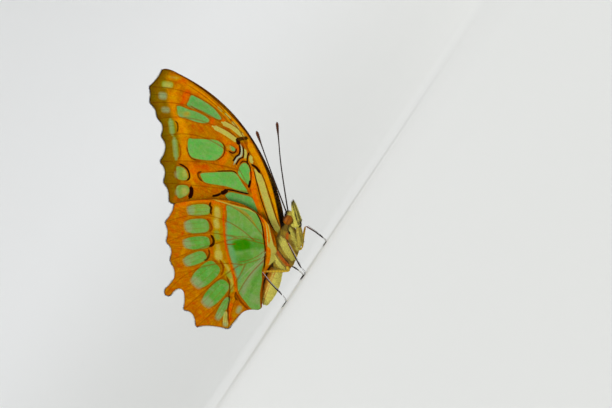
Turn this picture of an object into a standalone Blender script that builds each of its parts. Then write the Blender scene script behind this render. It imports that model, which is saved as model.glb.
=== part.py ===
"""A malachite butterfly at life size, standing on four legs with its wings shut over its back.

+X is forwards, +Y is the butterfly's left and +Z is up. Shapes are modelled in millimetres, with the
wing hinges near x = 0 and the feet on z = 0, and are scaled to metres at the end, when the bottom
centre of the whole is moved to the origin.
"""

import math

import bmesh
import bpy
from mathutils import Matrix, Vector
from mathutils.geometry import delaunay_2d_cdt, intersect_point_line

# Clearances and scale
METRES = 0.001
GAP = 0.3
MERGE = 0.00001
SLIVER = 0.04
SMOOTH_BELOW = 40

# Wings: a membrane with its veins raised in both faces
WING_THICKNESS = 0.5
VEIN_HEIGHT = 0.13
VEIN_HALF_WIDTH = 0.42
VEIN_STEPS = 7
VEIN_FADE = 0.12
NET_SPACING = 3.6
NET_CLEARANCE = 1.3
SCALLOP_STEPS = 5
SCALLOP_SKEW = 0.75
MARGIN_STEPS = 12

# The wings stand this far from the middle plane, wider where they leave the thorax
FORE_TIP_OFFSET = 0.7
FORE_ROOT_SPREAD = 1.75
FORE_SPREAD_REACH = 28.0
HIND_TIP_OFFSET = 2.2
HIND_ROOT_SPREAD = 1.4
HIND_SPREAD_REACH = 9.0
HIND_ROOT_DIP = 1.3
HIND_DIP_REACH = 3.0

# Forewing, in the plane of the wing: x forwards, z up
FORE_HINGE = (0.6, 10.0)
FORE_COSTA = ((0.3, 10.2), (10.8, 18.2), (20.9, 31.8), (18.2, 49.5))
FORE_APEX = ((18.2, 49.5), (18.1, 51.9), (17.0, 53.1))
FORE_INNER_MARGIN = ((-10.2, 36.1), (-8.2, 26.0), (-2.4, 18.0), (-2.2, 9.6))
FORE_RADIAL_STEM = ((0.2, 10.6), (8.6, 19.0), (12.4, 28.3))
FORE_CUBITAL_STEM = ((-0.5, 10.6), (3.2, 20.1), (8.9, 29.0))

# Hindwing, in the same plane
HIND_HINGE = (-5.2, 7.6)
HIND_SHOULDER = ((-2.2, 9.6), (1.6, 12.6), (1.3, 16.5))
HIND_COSTA = ((1.3, 16.5), (1.9, 23.0), (-2.9, 29.0), (-8.9, 34.7))
HIND_TAIL_ABOVE = ((-24.4, 24.3), (-27.0, 25.4))
HIND_TAIL_TIP = ((-29.3, 25.8), (-31.3, 25.8), (-31.3, 23.9), (-29.5, 23.9))
HIND_TAIL_BELOW = ((-27.4, 23.9), (-25.0, 22.4), (-28.0, 20.6))
HIND_TORNUS = ((-23.5, 7.4), (-22.0, 8.0), (-20.0, 4.4))
HIND_INNER_MARGIN = ((-19.0, 4.0), (-14.5, 6.5), (-9.5, 9.4), (-6.2, 7.2))
HIND_UPPER_STEM = ((-3.0, 9.2), (-5.2, 15.0), (-7.2, 18.0))
HIND_LOWER_STEM = ((-4.4, 8.6), (-8.2, 10.6), (-13.2, 14.2))

# Veins: where each leaves its stem (0 root, 1 end), its tooth on the margin, how far it bows
# forwards or upwards, and how deep the margin is scalloped beyond its tooth
FORE_VEINS = {
    "radius_3": ("radial", 0.80, (18.0, 46.5), 2.2, 0.0),
    "radius_4": ("radial", 1.00, (17.0, 53.1), 3.4, 0.25),
    "radius_5": ("radial", 0.97, (11.5, 53.7), 4.5, 0.2),
    "media_1": ("radial", 1.00, (8.2, 51.8), 3.6, 0.5),
    "media_2": ("radial", 0.98, (6.0, 48.4), 2.9, 0.85),
    "media_3": ("cubital", 1.00, (2.7, 45.5), 2.6, 1.15),
    "cubitus_1": ("cubital", 0.82, (-2.9, 42.8), 1.1, 0.9),
    "cubitus_2": ("cubital", 0.55, (-6.9, 39.6), 0.2, 0.6),
    "anal": ("cubital", 0.05, (-10.2, 36.1), -0.6, 0.0),
}
HIND_VEINS = {
    "subcosta": ("upper", 0.12, (-8.9, 34.7), 5.0, 0.35),
    "radius": ("upper", 0.45, (-14.6, 34.2), 3.9, 0.5),
    "media_1": ("upper", 0.95, (-18.8, 31.5), 1.8, 0.9),
    "media_2": ("upper", 1.00, (-22.3, 28.5), 0.4, 0.0),
    "media_3": ("lower", 0.90, (-30.4, 25.0), 3.0, 0.0),
    "cubitus_1": ("lower", 1.00, (-31.5, 19.4), 0.4, 1.35),
    "cubitus_2": ("lower", 0.82, (-33.5, 14.6), -1.1, 0.55),
    "anal": ("lower", 0.10, (-28.8, 7.9), 2.3, 0.0),
}

# Body rings, rear to front: x, z, half width, half height
THORAX_RINGS = (
    (-9.0, 6.1, 1.1, 1.3),
    (-8.4, 6.15, 1.75, 2.15),
    (-7.0, 6.5, 2.3, 3.15),
    (-5.0, 7.05, 2.6, 3.7),
    (-2.5, 7.8, 2.75, 3.9),
    (-0.5, 8.35, 2.55, 3.6),
    (0.9, 8.85, 2.05, 2.95),
    (1.8, 9.4, 1.3, 1.85),
    (2.2, 9.65, 0.7, 0.9),
)
HEAD_RINGS = (
    (2.5, 9.9, 0.7, 0.9),
    (2.95, 10.05, 1.25, 1.4),
    (3.65, 10.25, 1.5, 1.6),
    (4.35, 10.45, 1.35, 1.45),
    (4.85, 10.6, 0.9, 1.0),
    (5.1, 10.7, 0.45, 0.5),
)
BODY_SIDES = 24
ABDOMEN_FRONT = (-9.3, 6.1)
ABDOMEN_TIP = (-18.8, 4.25)
ABDOMEN_HALF_WIDTH = 1.8
ABDOMEN_HALF_HEIGHT = 1.95
ABDOMEN_SEGMENTS = 7
SEGMENT_GROOVE = 0.12
SEGMENT_BEVEL = 0.2
# The abdomen's fullness follows a sine between these two phases, in half turns, raised to a power
ABDOMEN_PHASES = (0.22, 0.92)
ABDOMEN_BLUNTNESS = 0.6

# Head
EYE_CENTRE = (3.45, 1.35, 10.35)
EYE_RADIUS = 1.15
EYE_HALF_DEPTH = 0.8
ANTENNA_ROOT = (4.2, 0.5, 11.3)
ANTENNA_RADIUS = 0.26
CLUB_RADIUS = 0.46
CLUB_START = 0.6
CLUB_WIDEST = 0.85
ANTENNA_LEFT = ((11.6, 3.4, 18.6), (19.0, 6.5, 25.2))
ANTENNA_RIGHT = ((11.9, -3.3, 19.4), (19.6, -6.4, 27.0))
PALP_PATH = ((3.2, 1.0, 9.3), (3.75, 1.0, 7.65), (5.35, 0.85, 9.15), (7.15, 0.6, 11.7))
PALP_RADII = (0.42, 0.46, 0.46, 0.2)
PROBOSCIS_CENTRE = (3.3, 7.85)
PROBOSCIS_RADIUS = 0.2
PROBOSCIS_INNER = 0.35
PROBOSCIS_PITCH = 0.5
PROBOSCIS_TURNS = 1.2
PROBOSCIS_START = 100
COIL_STEPS = 10

# Legs: path from inside the thorax to the toe, with a radius at each point
LEG_RADII = (0.55, 0.52, 0.48, 0.42, 0.36, 0.3, 0.27, 0.27, 0.25)
SOLE = 0.19
LEG_PATHS = {
    "midleg_right": ((-2.9, -1.3, 4.9), (-2.8, -2.3, 3.9), (-1.2, -3.4, 5.8), (0.1, -4.3, 7.5),
                     (0.2, -4.7, 7.2), (-1.2, -5.5, 4.3), (-2.2, -6.1, 2.2), (-2.9, -6.5, SOLE),
                     (-4.3, -6.8, SOLE)),
    "midleg_left": ((-2.9, 1.3, 4.9), (-2.2, 2.3, 4.0), (-0.3, 4.4, 5.4), (1.2, 6.1, 6.3),
                    (1.4, 6.4, 6.0), (1.3, 6.5, 3.6), (1.1, 6.6, 1.6), (0.7, 6.7, SOLE),
                    (-0.7, 6.9, SOLE)),
    "hindleg_right": ((-6.6, -1.2, 4.6), (-6.9, -2.1, 3.5), (-8.3, -3.5, 6.2), (-9.7, -4.5, 8.7),
                      (-10.0, -4.8, 8.5), (-10.4, -5.5, 5.6), (-10.8, -6.1, 2.6), (-11.6, -6.4, SOLE),
                      (-13.2, -6.8, SOLE)),
    "hindleg_left": ((-6.6, 1.2, 4.6), (-6.9, 2.1, 3.5), (-7.9, 3.5, 6.0), (-8.9, 4.4, 8.2),
                     (-9.1, 4.7, 8.0), (-9.2, 5.3, 5.2), (-9.3, 5.8, 2.4), (-9.8, 6.1, SOLE),
                     (-11.3, 6.4, SOLE)),
}
FORELEG_PATH = ((-0.1, 0.8, 6.2), (-0.3, 1.15, 4.35), (1.2, 1.1, 5.5), (2.7, 0.95, 6.65))
FORELEG_RADII = (0.44, 0.44, 0.38, 0.28)


def clear_scene():
    """Empty the file of the objects that it opened with."""
    for item in list(bpy.data.objects):
        bpy.data.objects.remove(item, do_unlink=True)


def finish(name, colour, roughness):
    """Principled material with the piece's own colour and roughness."""
    material = bpy.data.materials.new(name)
    material.use_nodes = True
    shader = material.node_tree.nodes["Principled BSDF"]
    shader.inputs["Base Color"].default_value = (*colour, 1.0)
    shader.inputs["Roughness"].default_value = roughness
    return material


def mirrored(point, side):
    """The same place on the left (side 1) or the right (side -1)."""
    return (point[0], side * point[1], point[2])


def add_object(name, source, material=None):
    """Object with its faces turned outwards, from a bmesh, which is freed."""
    bmesh.ops.recalc_face_normals(source, faces=source.faces)
    mesh = bpy.data.meshes.new(name)
    source.to_mesh(mesh)
    source.free()
    item = bpy.data.objects.new(name, mesh)
    bpy.context.scene.collection.objects.link(item)
    if material:
        mesh.materials.append(material)
    return item


def evaluated_copy(item):
    """Bmesh of an object as its modifiers or its curve bevel leave it; the object is removed."""
    evaluated = item.evaluated_get(bpy.context.evaluated_depsgraph_get())
    mesh = bpy.data.meshes.new_from_object(evaluated)
    result = bmesh.new()
    result.from_mesh(mesh)
    bpy.data.meshes.remove(mesh)
    bpy.data.objects.remove(item, do_unlink=True)
    return result


def keep_largest(source):
    """Delete every closed surface of a bmesh but the one with most faces."""
    left = set(source.faces)
    shells = []
    while left:
        front = [left.pop()]
        shell = list(front)
        while front:
            face = front.pop()
            near = {other for edge in face.edges for other in edge.link_faces if other in left}
            left -= near
            front.extend(near)
            shell.extend(near)
        shells.append(shell)
    shells.sort(key=len)
    scraps = [face for shell in shells[:-1] for face in shell]
    bmesh.ops.delete(source, geom=scraps, context="FACES")


def cut(item, cutters):
    """Take the cutters away from an object, with its own overlaps at sharp bends joined up.

    The cutters are removed afterwards.
    """
    name = item.name
    material = item.data.materials[0]
    for cutter in cutters:
        cutter.hide_render = True
        cutter.display_type = "WIRE"
        modifier = item.modifiers.new("cut", "BOOLEAN")
        modifier.operation = "DIFFERENCE"
        modifier.solver = "EXACT"
        modifier.use_self = True
        modifier.object = cutter
    result = evaluated_copy(item)
    for cutter in cutters:
        bpy.data.objects.remove(cutter, do_unlink=True)
    keep_largest(result)
    bmesh.ops.dissolve_degenerate(result, dist=SLIVER, edges=result.edges)
    bmesh.ops.triangulate(result, faces=[face for face in result.faces if len(face.verts) > 4])
    return add_object(name, result, material)


def shade_round(item):
    """Smooth shading that keeps the real edges."""
    item.data.shade_smooth()
    item.data.set_sharp_from_angle(angle=math.radians(SMOOTH_BELOW))


def bezier(controls, count):
    """Points along a Bezier curve through its first and last control, ends included."""
    points = []
    for step in range(count + 1):
        share = step / count
        level = [Vector(control) for control in controls]
        while len(level) > 1:
            level = [a.lerp(b, share) for a, b in zip(level, level[1:])]
        points.append(level[0])
    return points


def bowed(start, end, bow, count):
    """Curve whose middle stands off the chord by the bow, to its right as seen from the start."""
    chord = end - start
    side = Vector((chord.y, -chord.x)).normalized()
    return bezier((start, (start + end) / 2 + side * bow * 2, end), count)


def scallop(start, end, depth):
    """Hollow of the margin between two teeth, deepest nearer the first; the last point is left off."""
    chord = end - start
    inward = Vector((-chord.y, chord.x)).normalized()
    points = []
    for step in range(SCALLOP_STEPS):
        share = step / SCALLOP_STEPS
        hollow = depth * math.sin(math.pi * share ** SCALLOP_SKEW)
        points.append(start.lerp(end, share) + inward * hollow)
    return points


def smooth_run(controls, per_span):
    """Catmull-Rom run through control points of any dimension."""
    points = [Vector(control) for control in controls]
    padded = [points[0] * 2 - points[1], *points, points[-1] * 2 - points[-2]]
    run = []
    for index in range(1, len(padded) - 2):
        before, start, end, after = padded[index - 1:index + 3]
        for step in range(per_span):
            t = step / per_span
            run.append((start * 2 + (end - before) * t
                        + (before * 2 - start * 5 + end * 4 - after) * t ** 2
                        + (start * 3 - before - end * 3 + after) * t ** 3) / 2)
    return run + [points[-1]]


def tube(name, path, radii, material, per_span=3, resolution=2):
    """Round limb along a smooth path, as thick at each control point as its radius says."""
    run = smooth_run([(*point, radius) for point, radius in zip(path, radii)], per_span)
    curve = bpy.data.curves.new(name, "CURVE")
    curve.dimensions = "3D"
    curve.bevel_depth = 1.0
    curve.bevel_resolution = resolution
    curve.use_fill_caps = True
    spline = curve.splines.new("POLY")
    spline.points.add(len(run) - 1)
    for point, place in zip(spline.points, run):
        point.co = (place[0], place[1], place[2], 1.0)
        point.radius = place[3]
    item = bpy.data.objects.new(name, curve)
    bpy.context.scene.collection.objects.link(item)
    result = evaluated_copy(item)
    bmesh.ops.remove_doubles(result, verts=result.verts, dist=MERGE)
    return add_object(name, result, material)


def loft(name, rings, material=None, grow=0.0):
    """Closed body through upright oval rings along the length, grown all round on request."""
    result = bmesh.new()
    loops = []
    for index, (x, z, half_width, half_height) in enumerate(rings):
        end = -1 if index == 0 else 1 if index == len(rings) - 1 else 0
        place = Matrix.Translation((x + end * grow, 0.0, z))
        shape = Matrix.Diagonal((1.0, half_width + grow, half_height + grow, 1.0))
        matrix = place @ shape @ Matrix.Rotation(math.radians(90), 4, "Y")
        made = bmesh.ops.create_circle(result, cap_ends=False, segments=BODY_SIDES, radius=1.0,
                                       matrix=matrix)
        loops.append(made["verts"])
    for before, after in zip(loops, loops[1:]):
        edges = {edge for vert in before + after for edge in vert.link_edges
                 if edge.other_vert(vert) in before or edge.other_vert(vert) in after}
        hoops = [edge for edge in edges
                 if all(vert in before for vert in edge.verts)
                 or all(vert in after for vert in edge.verts)]
        bmesh.ops.bridge_loops(result, edges=hoops)
    for loop in (loops[0], loops[-1]):
        bmesh.ops.contextual_create(result, geom=loop)
    return add_object(name, result, material)


def fore_offset(x, z):
    """Distance of the forewing's middle surface from the middle plane of the body."""
    reach = math.hypot(x - FORE_HINGE[0], z - FORE_HINGE[1])
    near = max(0.0, 1.0 - reach / FORE_SPREAD_REACH)
    return FORE_TIP_OFFSET + FORE_ROOT_SPREAD * near ** 2


def hind_offset(x, z):
    """The same for the hindwing, which passes outside the forewing and dips to its own root."""
    spread = math.hypot(x - FORE_HINGE[0], z - FORE_HINGE[1]) / HIND_SPREAD_REACH
    dip = math.hypot(x - HIND_HINGE[0], z - HIND_HINGE[1]) / HIND_DIP_REACH
    swell = HIND_ROOT_SPREAD * math.exp(-spread ** 2)
    return HIND_TIP_OFFSET + swell - HIND_ROOT_DIP * math.exp(-dip ** 2)


def vein_crests(veins, stems):
    """Crest line of each stem and of each vein that leaves it."""
    crests = [bezier(controls, VEIN_STEPS) for controls in stems.values()]
    for stem, share, tooth, bow, _ in veins.values():
        start = bezier(stems[stem], 100)[round(share * 100)]
        crests.append(bowed(start, Vector(tooth), bow, VEIN_STEPS))
    return crests


def vein_width(share):
    """Half width of a ridge along its vein, fading out at the margin."""
    return VEIN_HALF_WIDTH * min(1.0, (1.0 - share) / VEIN_FADE)


def ridge(point, crests):
    """Height of the vein ridges at a point of the wing."""
    height = 0.0
    for crest in crests:
        for index, (start, end) in enumerate(zip(crest, crest[1:])):
            foot, along = intersect_point_line(point, start, end)
            along = min(1.0, max(0.0, along))
            width = vein_width((index + along) / VEIN_STEPS)
            distance = (point - start.lerp(end, along)).length
            if distance < width:
                rise = VEIN_HEIGHT * (width / VEIN_HALF_WIDTH) * (1.0 - distance / width)
                height = max(height, rise)
    return height


def vein_feet(crest):
    """The two lines where a ridge runs out into the membrane."""
    feet = []
    for side in (1, -1):
        line = []
        for index, point in enumerate(crest):
            before = crest[max(0, index - 1)]
            after = crest[min(len(crest) - 1, index + 1)]
            along = (after - before).normalized()
            normal = Vector((along.y, -along.x))
            line.append(point + normal * side * vein_width(index / VEIN_STEPS))
        feet.append(line)
    return feet


def inside(point, outline):
    """Whether a point lies within the outline, by counting the edges to its right."""
    crossings = 0
    for start, end in zip(outline, outline[1:] + outline[:1]):
        if (start.y > point.y) != (end.y > point.y):
            across = start.x + (point.y - start.y) / (end.y - start.y) * (end.x - start.x)
            crossings += across > point.x
    return crossings % 2 == 1


def distance_to(point, line):
    """Distance from a point to the nearest corner of a line."""
    return min((point - corner).length for corner in line)


def membrane_net(outline, lines):
    """Points of an even net inside the outline, clear of its edge and of the veins."""
    net = []
    width = max(point.x for point in outline) - min(point.x for point in outline)
    height = max(point.y for point in outline) - min(point.y for point in outline)
    corner = Vector((min(point.x for point in outline), min(point.y for point in outline)))
    rise = NET_SPACING * math.sqrt(0.75)
    for row in range(math.ceil(height / rise)):
        for column in range(math.ceil(width / NET_SPACING)):
            shift = 0.5 * (row % 2)
            point = corner + Vector(((column + shift) * NET_SPACING, (row + 0.5) * rise))
            clear = all(distance_to(point, line) > NET_CLEARANCE for line in lines)
            if clear and inside(point, outline):
                net.append(point)
    return net


def wing(name, side, outline, crests, offset, material):
    """Membrane with raised veins, its two faces split into the same triangles."""
    lines = [outline + outline[:1]]
    for crest in crests:
        lines.append(crest)
        lines.extend(vein_feet(crest))
    points = []
    edges = []
    for line in lines:
        first = len(points)
        points.extend(line)
        edges.extend((first + step, first + step + 1) for step in range(len(line) - 1))
    points.extend(membrane_net(outline, lines))
    corners, _, triangles, *_ = delaunay_2d_cdt(points, edges, [], 1, 0.001)
    result = bmesh.new()
    layers = []
    for face in (1, -1):
        layer = []
        for corner in corners:
            half = WING_THICKNESS / 2 + ridge(corner, crests)
            y = side * (offset(corner.x, corner.y) + face * half)
            layer.append(result.verts.new((corner.x, y, corner.y)))
        layers.append(layer)
        for triangle in triangles:
            result.faces.new([layer[index] for index in triangle])
    pairs = {}
    for triangle in triangles:
        for a, b in zip(triangle, triangle[1:] + triangle[:1]):
            pairs.setdefault(frozenset((a, b)), []).append((a, b))
    for used in pairs.values():
        if len(used) == 1:
            a, b = used[0]
            result.faces.new((layers[0][a], layers[0][b], layers[1][b], layers[1][a]))
    loose = [vert for vert in result.verts if not vert.link_faces]
    bmesh.ops.delete(result, geom=loose, context="VERTS")
    return add_object(name, result, material)


def scalloped(veins, names):
    """Margin through the teeth of the named veins, in order; the last tooth is left off."""
    points = []
    for name, following in zip(names, names[1:]):
        start = Vector(veins[name][2])
        end = Vector(veins[following][2])
        points.extend(scallop(start, end, veins[name][4]))
    return points


def forewing_outline():
    """Leading edge, rounded tip, scalloped outer margin and inner margin."""
    names = ["radius_4", "radius_5", "media_1", "media_2", "media_3", "cubitus_1", "cubitus_2", "anal"]
    outline = bezier(FORE_COSTA, MARGIN_STEPS)[:-1]
    outline += bezier(FORE_APEX, 3)[:-1]
    outline += scalloped(FORE_VEINS, names)
    return outline + bezier(FORE_INNER_MARGIN, MARGIN_STEPS // 2)


def hindwing_outline():
    """Shoulder, leading edge, scalloped margin with its tail, tornus and inner margin."""
    before_tail = ["subcosta", "radius", "media_1", "media_2"]
    after_tail = ["cubitus_1", "cubitus_2", "anal"]
    teeth = {name: row[2] for name, row in HIND_VEINS.items()}
    outline = bezier(HIND_SHOULDER, 4)[:-1]
    outline += bezier(HIND_COSTA, MARGIN_STEPS)[:-1]
    outline += scalloped(HIND_VEINS, before_tail)
    outline += bezier((teeth["media_2"], *HIND_TAIL_ABOVE, HIND_TAIL_TIP[0]), 6)[:-1]
    outline += bezier(HIND_TAIL_TIP, 6)[:-1]
    outline += bezier((HIND_TAIL_TIP[-1], *HIND_TAIL_BELOW, teeth["cubitus_1"]), 8)[:-1]
    outline += scalloped(HIND_VEINS, after_tail)
    outline += bezier((teeth["anal"], *HIND_TORNUS), 6)
    return outline + bezier(HIND_INNER_MARGIN, MARGIN_STEPS // 2)


def grown_thorax():
    """The thorax with the clearance that its neighbours keep, as a cutter."""
    return loft("thorax_clearance", THORAX_RINGS, grow=GAP)


def grown_head():
    """The head with the same clearance."""
    return loft("head_clearance", HEAD_RINGS, grow=GAP)


def build_wings():
    """Four wings, each trimmed where it meets the thorax."""
    fore_finish = finish("forewing_scales", (0.45, 0.16, 0.02), 0.7)
    hind_finish = finish("hindwing_scales", (0.16, 0.38, 0.1), 0.7)
    fore_stems = {"radial": FORE_RADIAL_STEM, "cubital": FORE_CUBITAL_STEM}
    hind_stems = {"upper": HIND_UPPER_STEM, "lower": HIND_LOWER_STEM}
    fore_crests = vein_crests(FORE_VEINS, fore_stems)
    hind_crests = vein_crests(HIND_VEINS, hind_stems)
    wings = []
    for side, hand in ((1, "left"), (-1, "right")):
        sheets = (
            wing(f"forewing_{hand}", side, forewing_outline(), fore_crests, fore_offset, fore_finish),
            wing(f"hindwing_{hand}", side, hindwing_outline(), hind_crests, hind_offset, hind_finish),
        )
        wings.extend(cut(sheet, [grown_thorax()]) for sheet in sheets)
    return wings


def build_thorax():
    """The trunk that carries the wings and legs."""
    return loft("thorax", THORAX_RINGS, finish("thorax_fur", (0.62, 0.5, 0.2), 0.85))


def build_abdomen():
    """Tapering abdomen with a groove after each segment."""
    rings = []
    front = Vector(ABDOMEN_FRONT)
    tip = Vector(ABDOMEN_TIP)
    first, last = ABDOMEN_PHASES
    steps = ((0.0, SEGMENT_GROOVE), (SEGMENT_BEVEL, 0.0), (1.0 - SEGMENT_BEVEL, 0.0), (1.0, SEGMENT_GROOVE))
    for segment in range(ABDOMEN_SEGMENTS):
        for share, groove in steps:
            along = (segment + share) / ABDOMEN_SEGMENTS
            if share == 1.0 and segment < ABDOMEN_SEGMENTS - 1:
                continue
            fullness = math.sin(math.pi * (first + (last - first) * along)) ** ABDOMEN_BLUNTNESS
            place = front.lerp(tip, along)
            half_width = ABDOMEN_HALF_WIDTH * fullness - groove
            half_height = ABDOMEN_HALF_HEIGHT * fullness - groove
            rings.append((place.x, place.y, half_width, half_height))
    return loft("abdomen", rings, finish("abdomen_fur", (0.5, 0.4, 0.16), 0.85))


def eyeball(name, side, grow, material=None):
    """Oval eye on one side of the head, grown on request."""
    result = bmesh.new()
    matrix = (Matrix.Translation(mirrored(EYE_CENTRE, side))
              @ Matrix.Diagonal((EYE_RADIUS + grow, EYE_HALF_DEPTH + grow, EYE_RADIUS + grow, 1.0))
              @ Matrix.Rotation(math.radians(90), 4, "X"))
    bmesh.ops.create_uvsphere(result, u_segments=20, v_segments=10, radius=1.0, matrix=matrix)
    return add_object(name, result, material)


def build_head():
    """Head with a socket for each eye, and the eyes."""
    head = loft("head", HEAD_RINGS, finish("head_fur", (0.06, 0.04, 0.02), 0.85))
    eye_finish = finish("eye", (0.4, 0.16, 0.03), 0.25)
    sockets = [eyeball("socket", side, GAP) for side in (1, -1)]
    eyes = [eyeball(f"eye_{hand}", side, 0.0, eye_finish) for side, hand in ((1, "left"), (-1, "right"))]
    return [cut(head, sockets), *eyes]


def build_antennae():
    """Two slender feelers that swell into a club at the tip."""
    antenna_finish = finish("antenna", (0.05, 0.02, 0.01), 0.5)
    feelers = []
    for side, hand, reach in ((1, "left", ANTENNA_LEFT), (-1, "right", ANTENNA_RIGHT)):
        root = Vector(mirrored(ANTENNA_ROOT, side))
        middle, tip = (Vector(place) for place in reach)
        path = (root, middle, middle.lerp(tip, CLUB_START), middle.lerp(tip, CLUB_WIDEST), tip)
        radii = (ANTENNA_RADIUS, ANTENNA_RADIUS, ANTENNA_RADIUS, CLUB_RADIUS, CLUB_RADIUS / 2)
        feeler = tube(f"antenna_{hand}", path, radii, antenna_finish)
        feelers.append(cut(feeler, [grown_head()]))
    return feelers


def build_mouth():
    """Two palps before the face and the coiled proboscis between them."""
    palp_finish = finish("palp", (0.7, 0.6, 0.25), 0.8)
    pieces = []
    for side, hand in ((1, "left"), (-1, "right")):
        path = [mirrored(point, side) for point in PALP_PATH]
        palp = tube(f"palp_{hand}", path, PALP_RADII, palp_finish)
        pieces.append(cut(palp, [grown_head()]))
    coil = []
    steps = round(PROBOSCIS_TURNS * COIL_STEPS)
    start = math.radians(PROBOSCIS_START)
    for step in range(steps + 1):
        angle = start - step / COIL_STEPS * math.tau
        reach = PROBOSCIS_INNER + PROBOSCIS_PITCH * (steps - step) / COIL_STEPS
        x = PROBOSCIS_CENTRE[0] + reach * math.cos(angle)
        z = PROBOSCIS_CENTRE[1] + reach * math.sin(angle)
        coil.append((x, 0.0, z))
    radii = [PROBOSCIS_RADIUS] * len(coil)
    tongue = tube("proboscis", coil, radii, finish("proboscis", (0.12, 0.05, 0.02), 0.5), per_span=1)
    pieces.append(cut(tongue, [grown_head()]))
    return pieces


def trim_at_floor(item):
    """Cut off what a foot has below the floor, which leaves its flat sole."""
    name = item.name
    material = item.data.materials[0]
    result = bmesh.new()
    result.from_mesh(item.data)
    bpy.data.objects.remove(item, do_unlink=True)
    geometry = result.verts[:] + result.edges[:] + result.faces[:]
    bmesh.ops.bisect_plane(result, geom=geometry, plane_co=(0, 0, 0), plane_no=(0, 0, -1),
                           clear_outer=True, dist=MERGE)
    rim = [edge for edge in result.edges if edge.is_boundary]
    bmesh.ops.holes_fill(result, edges=rim)
    return add_object(name, result, material)


def build_legs():
    """Four walking legs and the two small forelegs folded under the head."""
    leg_finish = finish("leg", (0.25, 0.1, 0.02), 0.6)
    legs = []
    for name, path in LEG_PATHS.items():
        leg = cut(tube(name, path, LEG_RADII, leg_finish), [grown_thorax()])
        legs.append(trim_at_floor(leg))
    for side, hand in ((1, "left"), (-1, "right")):
        path = [mirrored(point, side) for point in FORELEG_PATH]
        leg = tube(f"foreleg_{hand}", path, FORELEG_RADII, leg_finish)
        legs.append(cut(leg, [grown_thorax()]))
    return legs


def stand_at_origin(pieces):
    """Scale every piece to metres and bring the bottom centre of the whole to the origin."""
    corners = [vert.co for piece in pieces for vert in piece.data.vertices]
    middle = [(min(corner[axis] for corner in corners) + max(corner[axis] for corner in corners)) / 2
              for axis in (0, 1)]
    move = Matrix.Scale(METRES, 4) @ Matrix.Translation((-middle[0], -middle[1], 0.0))
    root = bpy.data.objects.new("butterfly", None)
    bpy.context.scene.collection.objects.link(root)
    for piece in pieces:
        piece.data.transform(move)
        piece.parent = root


def main():
    """Build every piece of the butterfly."""
    clear_scene()
    body = [build_thorax(), build_abdomen(), *build_head()]
    pieces = body + build_antennae() + build_mouth() + build_legs()
    for piece in pieces:
        shade_round(piece)
    pieces.extend(build_wings())
    stand_at_origin(pieces)


main()
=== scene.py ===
"""A malachite butterfly at rest: scaled wings, furred body, eyes, palps, feelers and legs.

Shapes are worked out in the maker's millimetres: +X forwards, +Y to the butterfly's left, +Z up, with
the wing hinges near x = 0 and the feet on z = 0. SHIFT carries them to the frame of the solid model.
"""

import math

import bmesh
import bpy
import numpy as np
from bpy.props import FloatProperty, FloatVectorProperty, IntProperty, PointerProperty
from mathutils import Matrix, Vector


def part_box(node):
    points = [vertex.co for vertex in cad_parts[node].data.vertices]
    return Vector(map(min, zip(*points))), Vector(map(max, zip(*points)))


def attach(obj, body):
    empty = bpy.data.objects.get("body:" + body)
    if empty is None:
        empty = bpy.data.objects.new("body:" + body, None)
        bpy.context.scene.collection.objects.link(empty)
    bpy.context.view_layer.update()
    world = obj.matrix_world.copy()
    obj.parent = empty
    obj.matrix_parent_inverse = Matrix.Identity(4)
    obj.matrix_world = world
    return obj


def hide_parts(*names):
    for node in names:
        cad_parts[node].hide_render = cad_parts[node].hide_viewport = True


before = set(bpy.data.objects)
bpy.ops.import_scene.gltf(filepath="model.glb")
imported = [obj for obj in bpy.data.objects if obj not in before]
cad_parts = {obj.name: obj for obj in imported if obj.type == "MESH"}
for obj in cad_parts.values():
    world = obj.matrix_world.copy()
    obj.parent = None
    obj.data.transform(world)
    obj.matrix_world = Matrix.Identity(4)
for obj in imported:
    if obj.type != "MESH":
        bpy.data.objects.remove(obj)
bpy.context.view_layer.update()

bl_info = {
    "name": "Malachite butterfly",
    "version": (1, 0, 0),
    "blender": (4, 5, 0),
    "location": "3D View > Sidebar > Butterfly",
    "description": "Wings, furred body, head, legs and stage of a malachite butterfly at rest",
    "category": "Add Mesh",
}

MM = 0.001
WELD = 0.0004

# Eyes
EYE_CENTRE = (3.45, 1.35, 10.35)
EYE_RADIUS = 1.2
EYE_HALF_DEPTH = 0.8
EYE_SHIFT = sum((np.array(corner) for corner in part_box("eye_right")), np.zeros(3)) / 2 / MM
SHIFT = EYE_SHIFT - np.array((EYE_CENTRE[0], -EYE_CENTRE[1], EYE_CENTRE[2]))

# Forewing, in the plane of the wing: x forwards, z up
FORE_HINGE = (0.6, 10.0)
FORE_COSTA = ((0.3, 10.2), (10.8, 18.2), (20.9, 31.8), (18.2, 49.5))
FORE_APEX = ((18.2, 49.5), (18.1, 51.9), (17.0, 53.1))
FORE_INNER_MARGIN = ((-10.2, 36.1), (-8.2, 26.0), (-2.4, 18.0), (-2.2, 9.6))
FORE_STEMS = {
    "radial": ((0.2, 10.6), (8.6, 19.0), (12.4, 28.3)),
    "cubital": ((-0.5, 10.6), (3.2, 20.1), (8.9, 29.0)),
}

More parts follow.
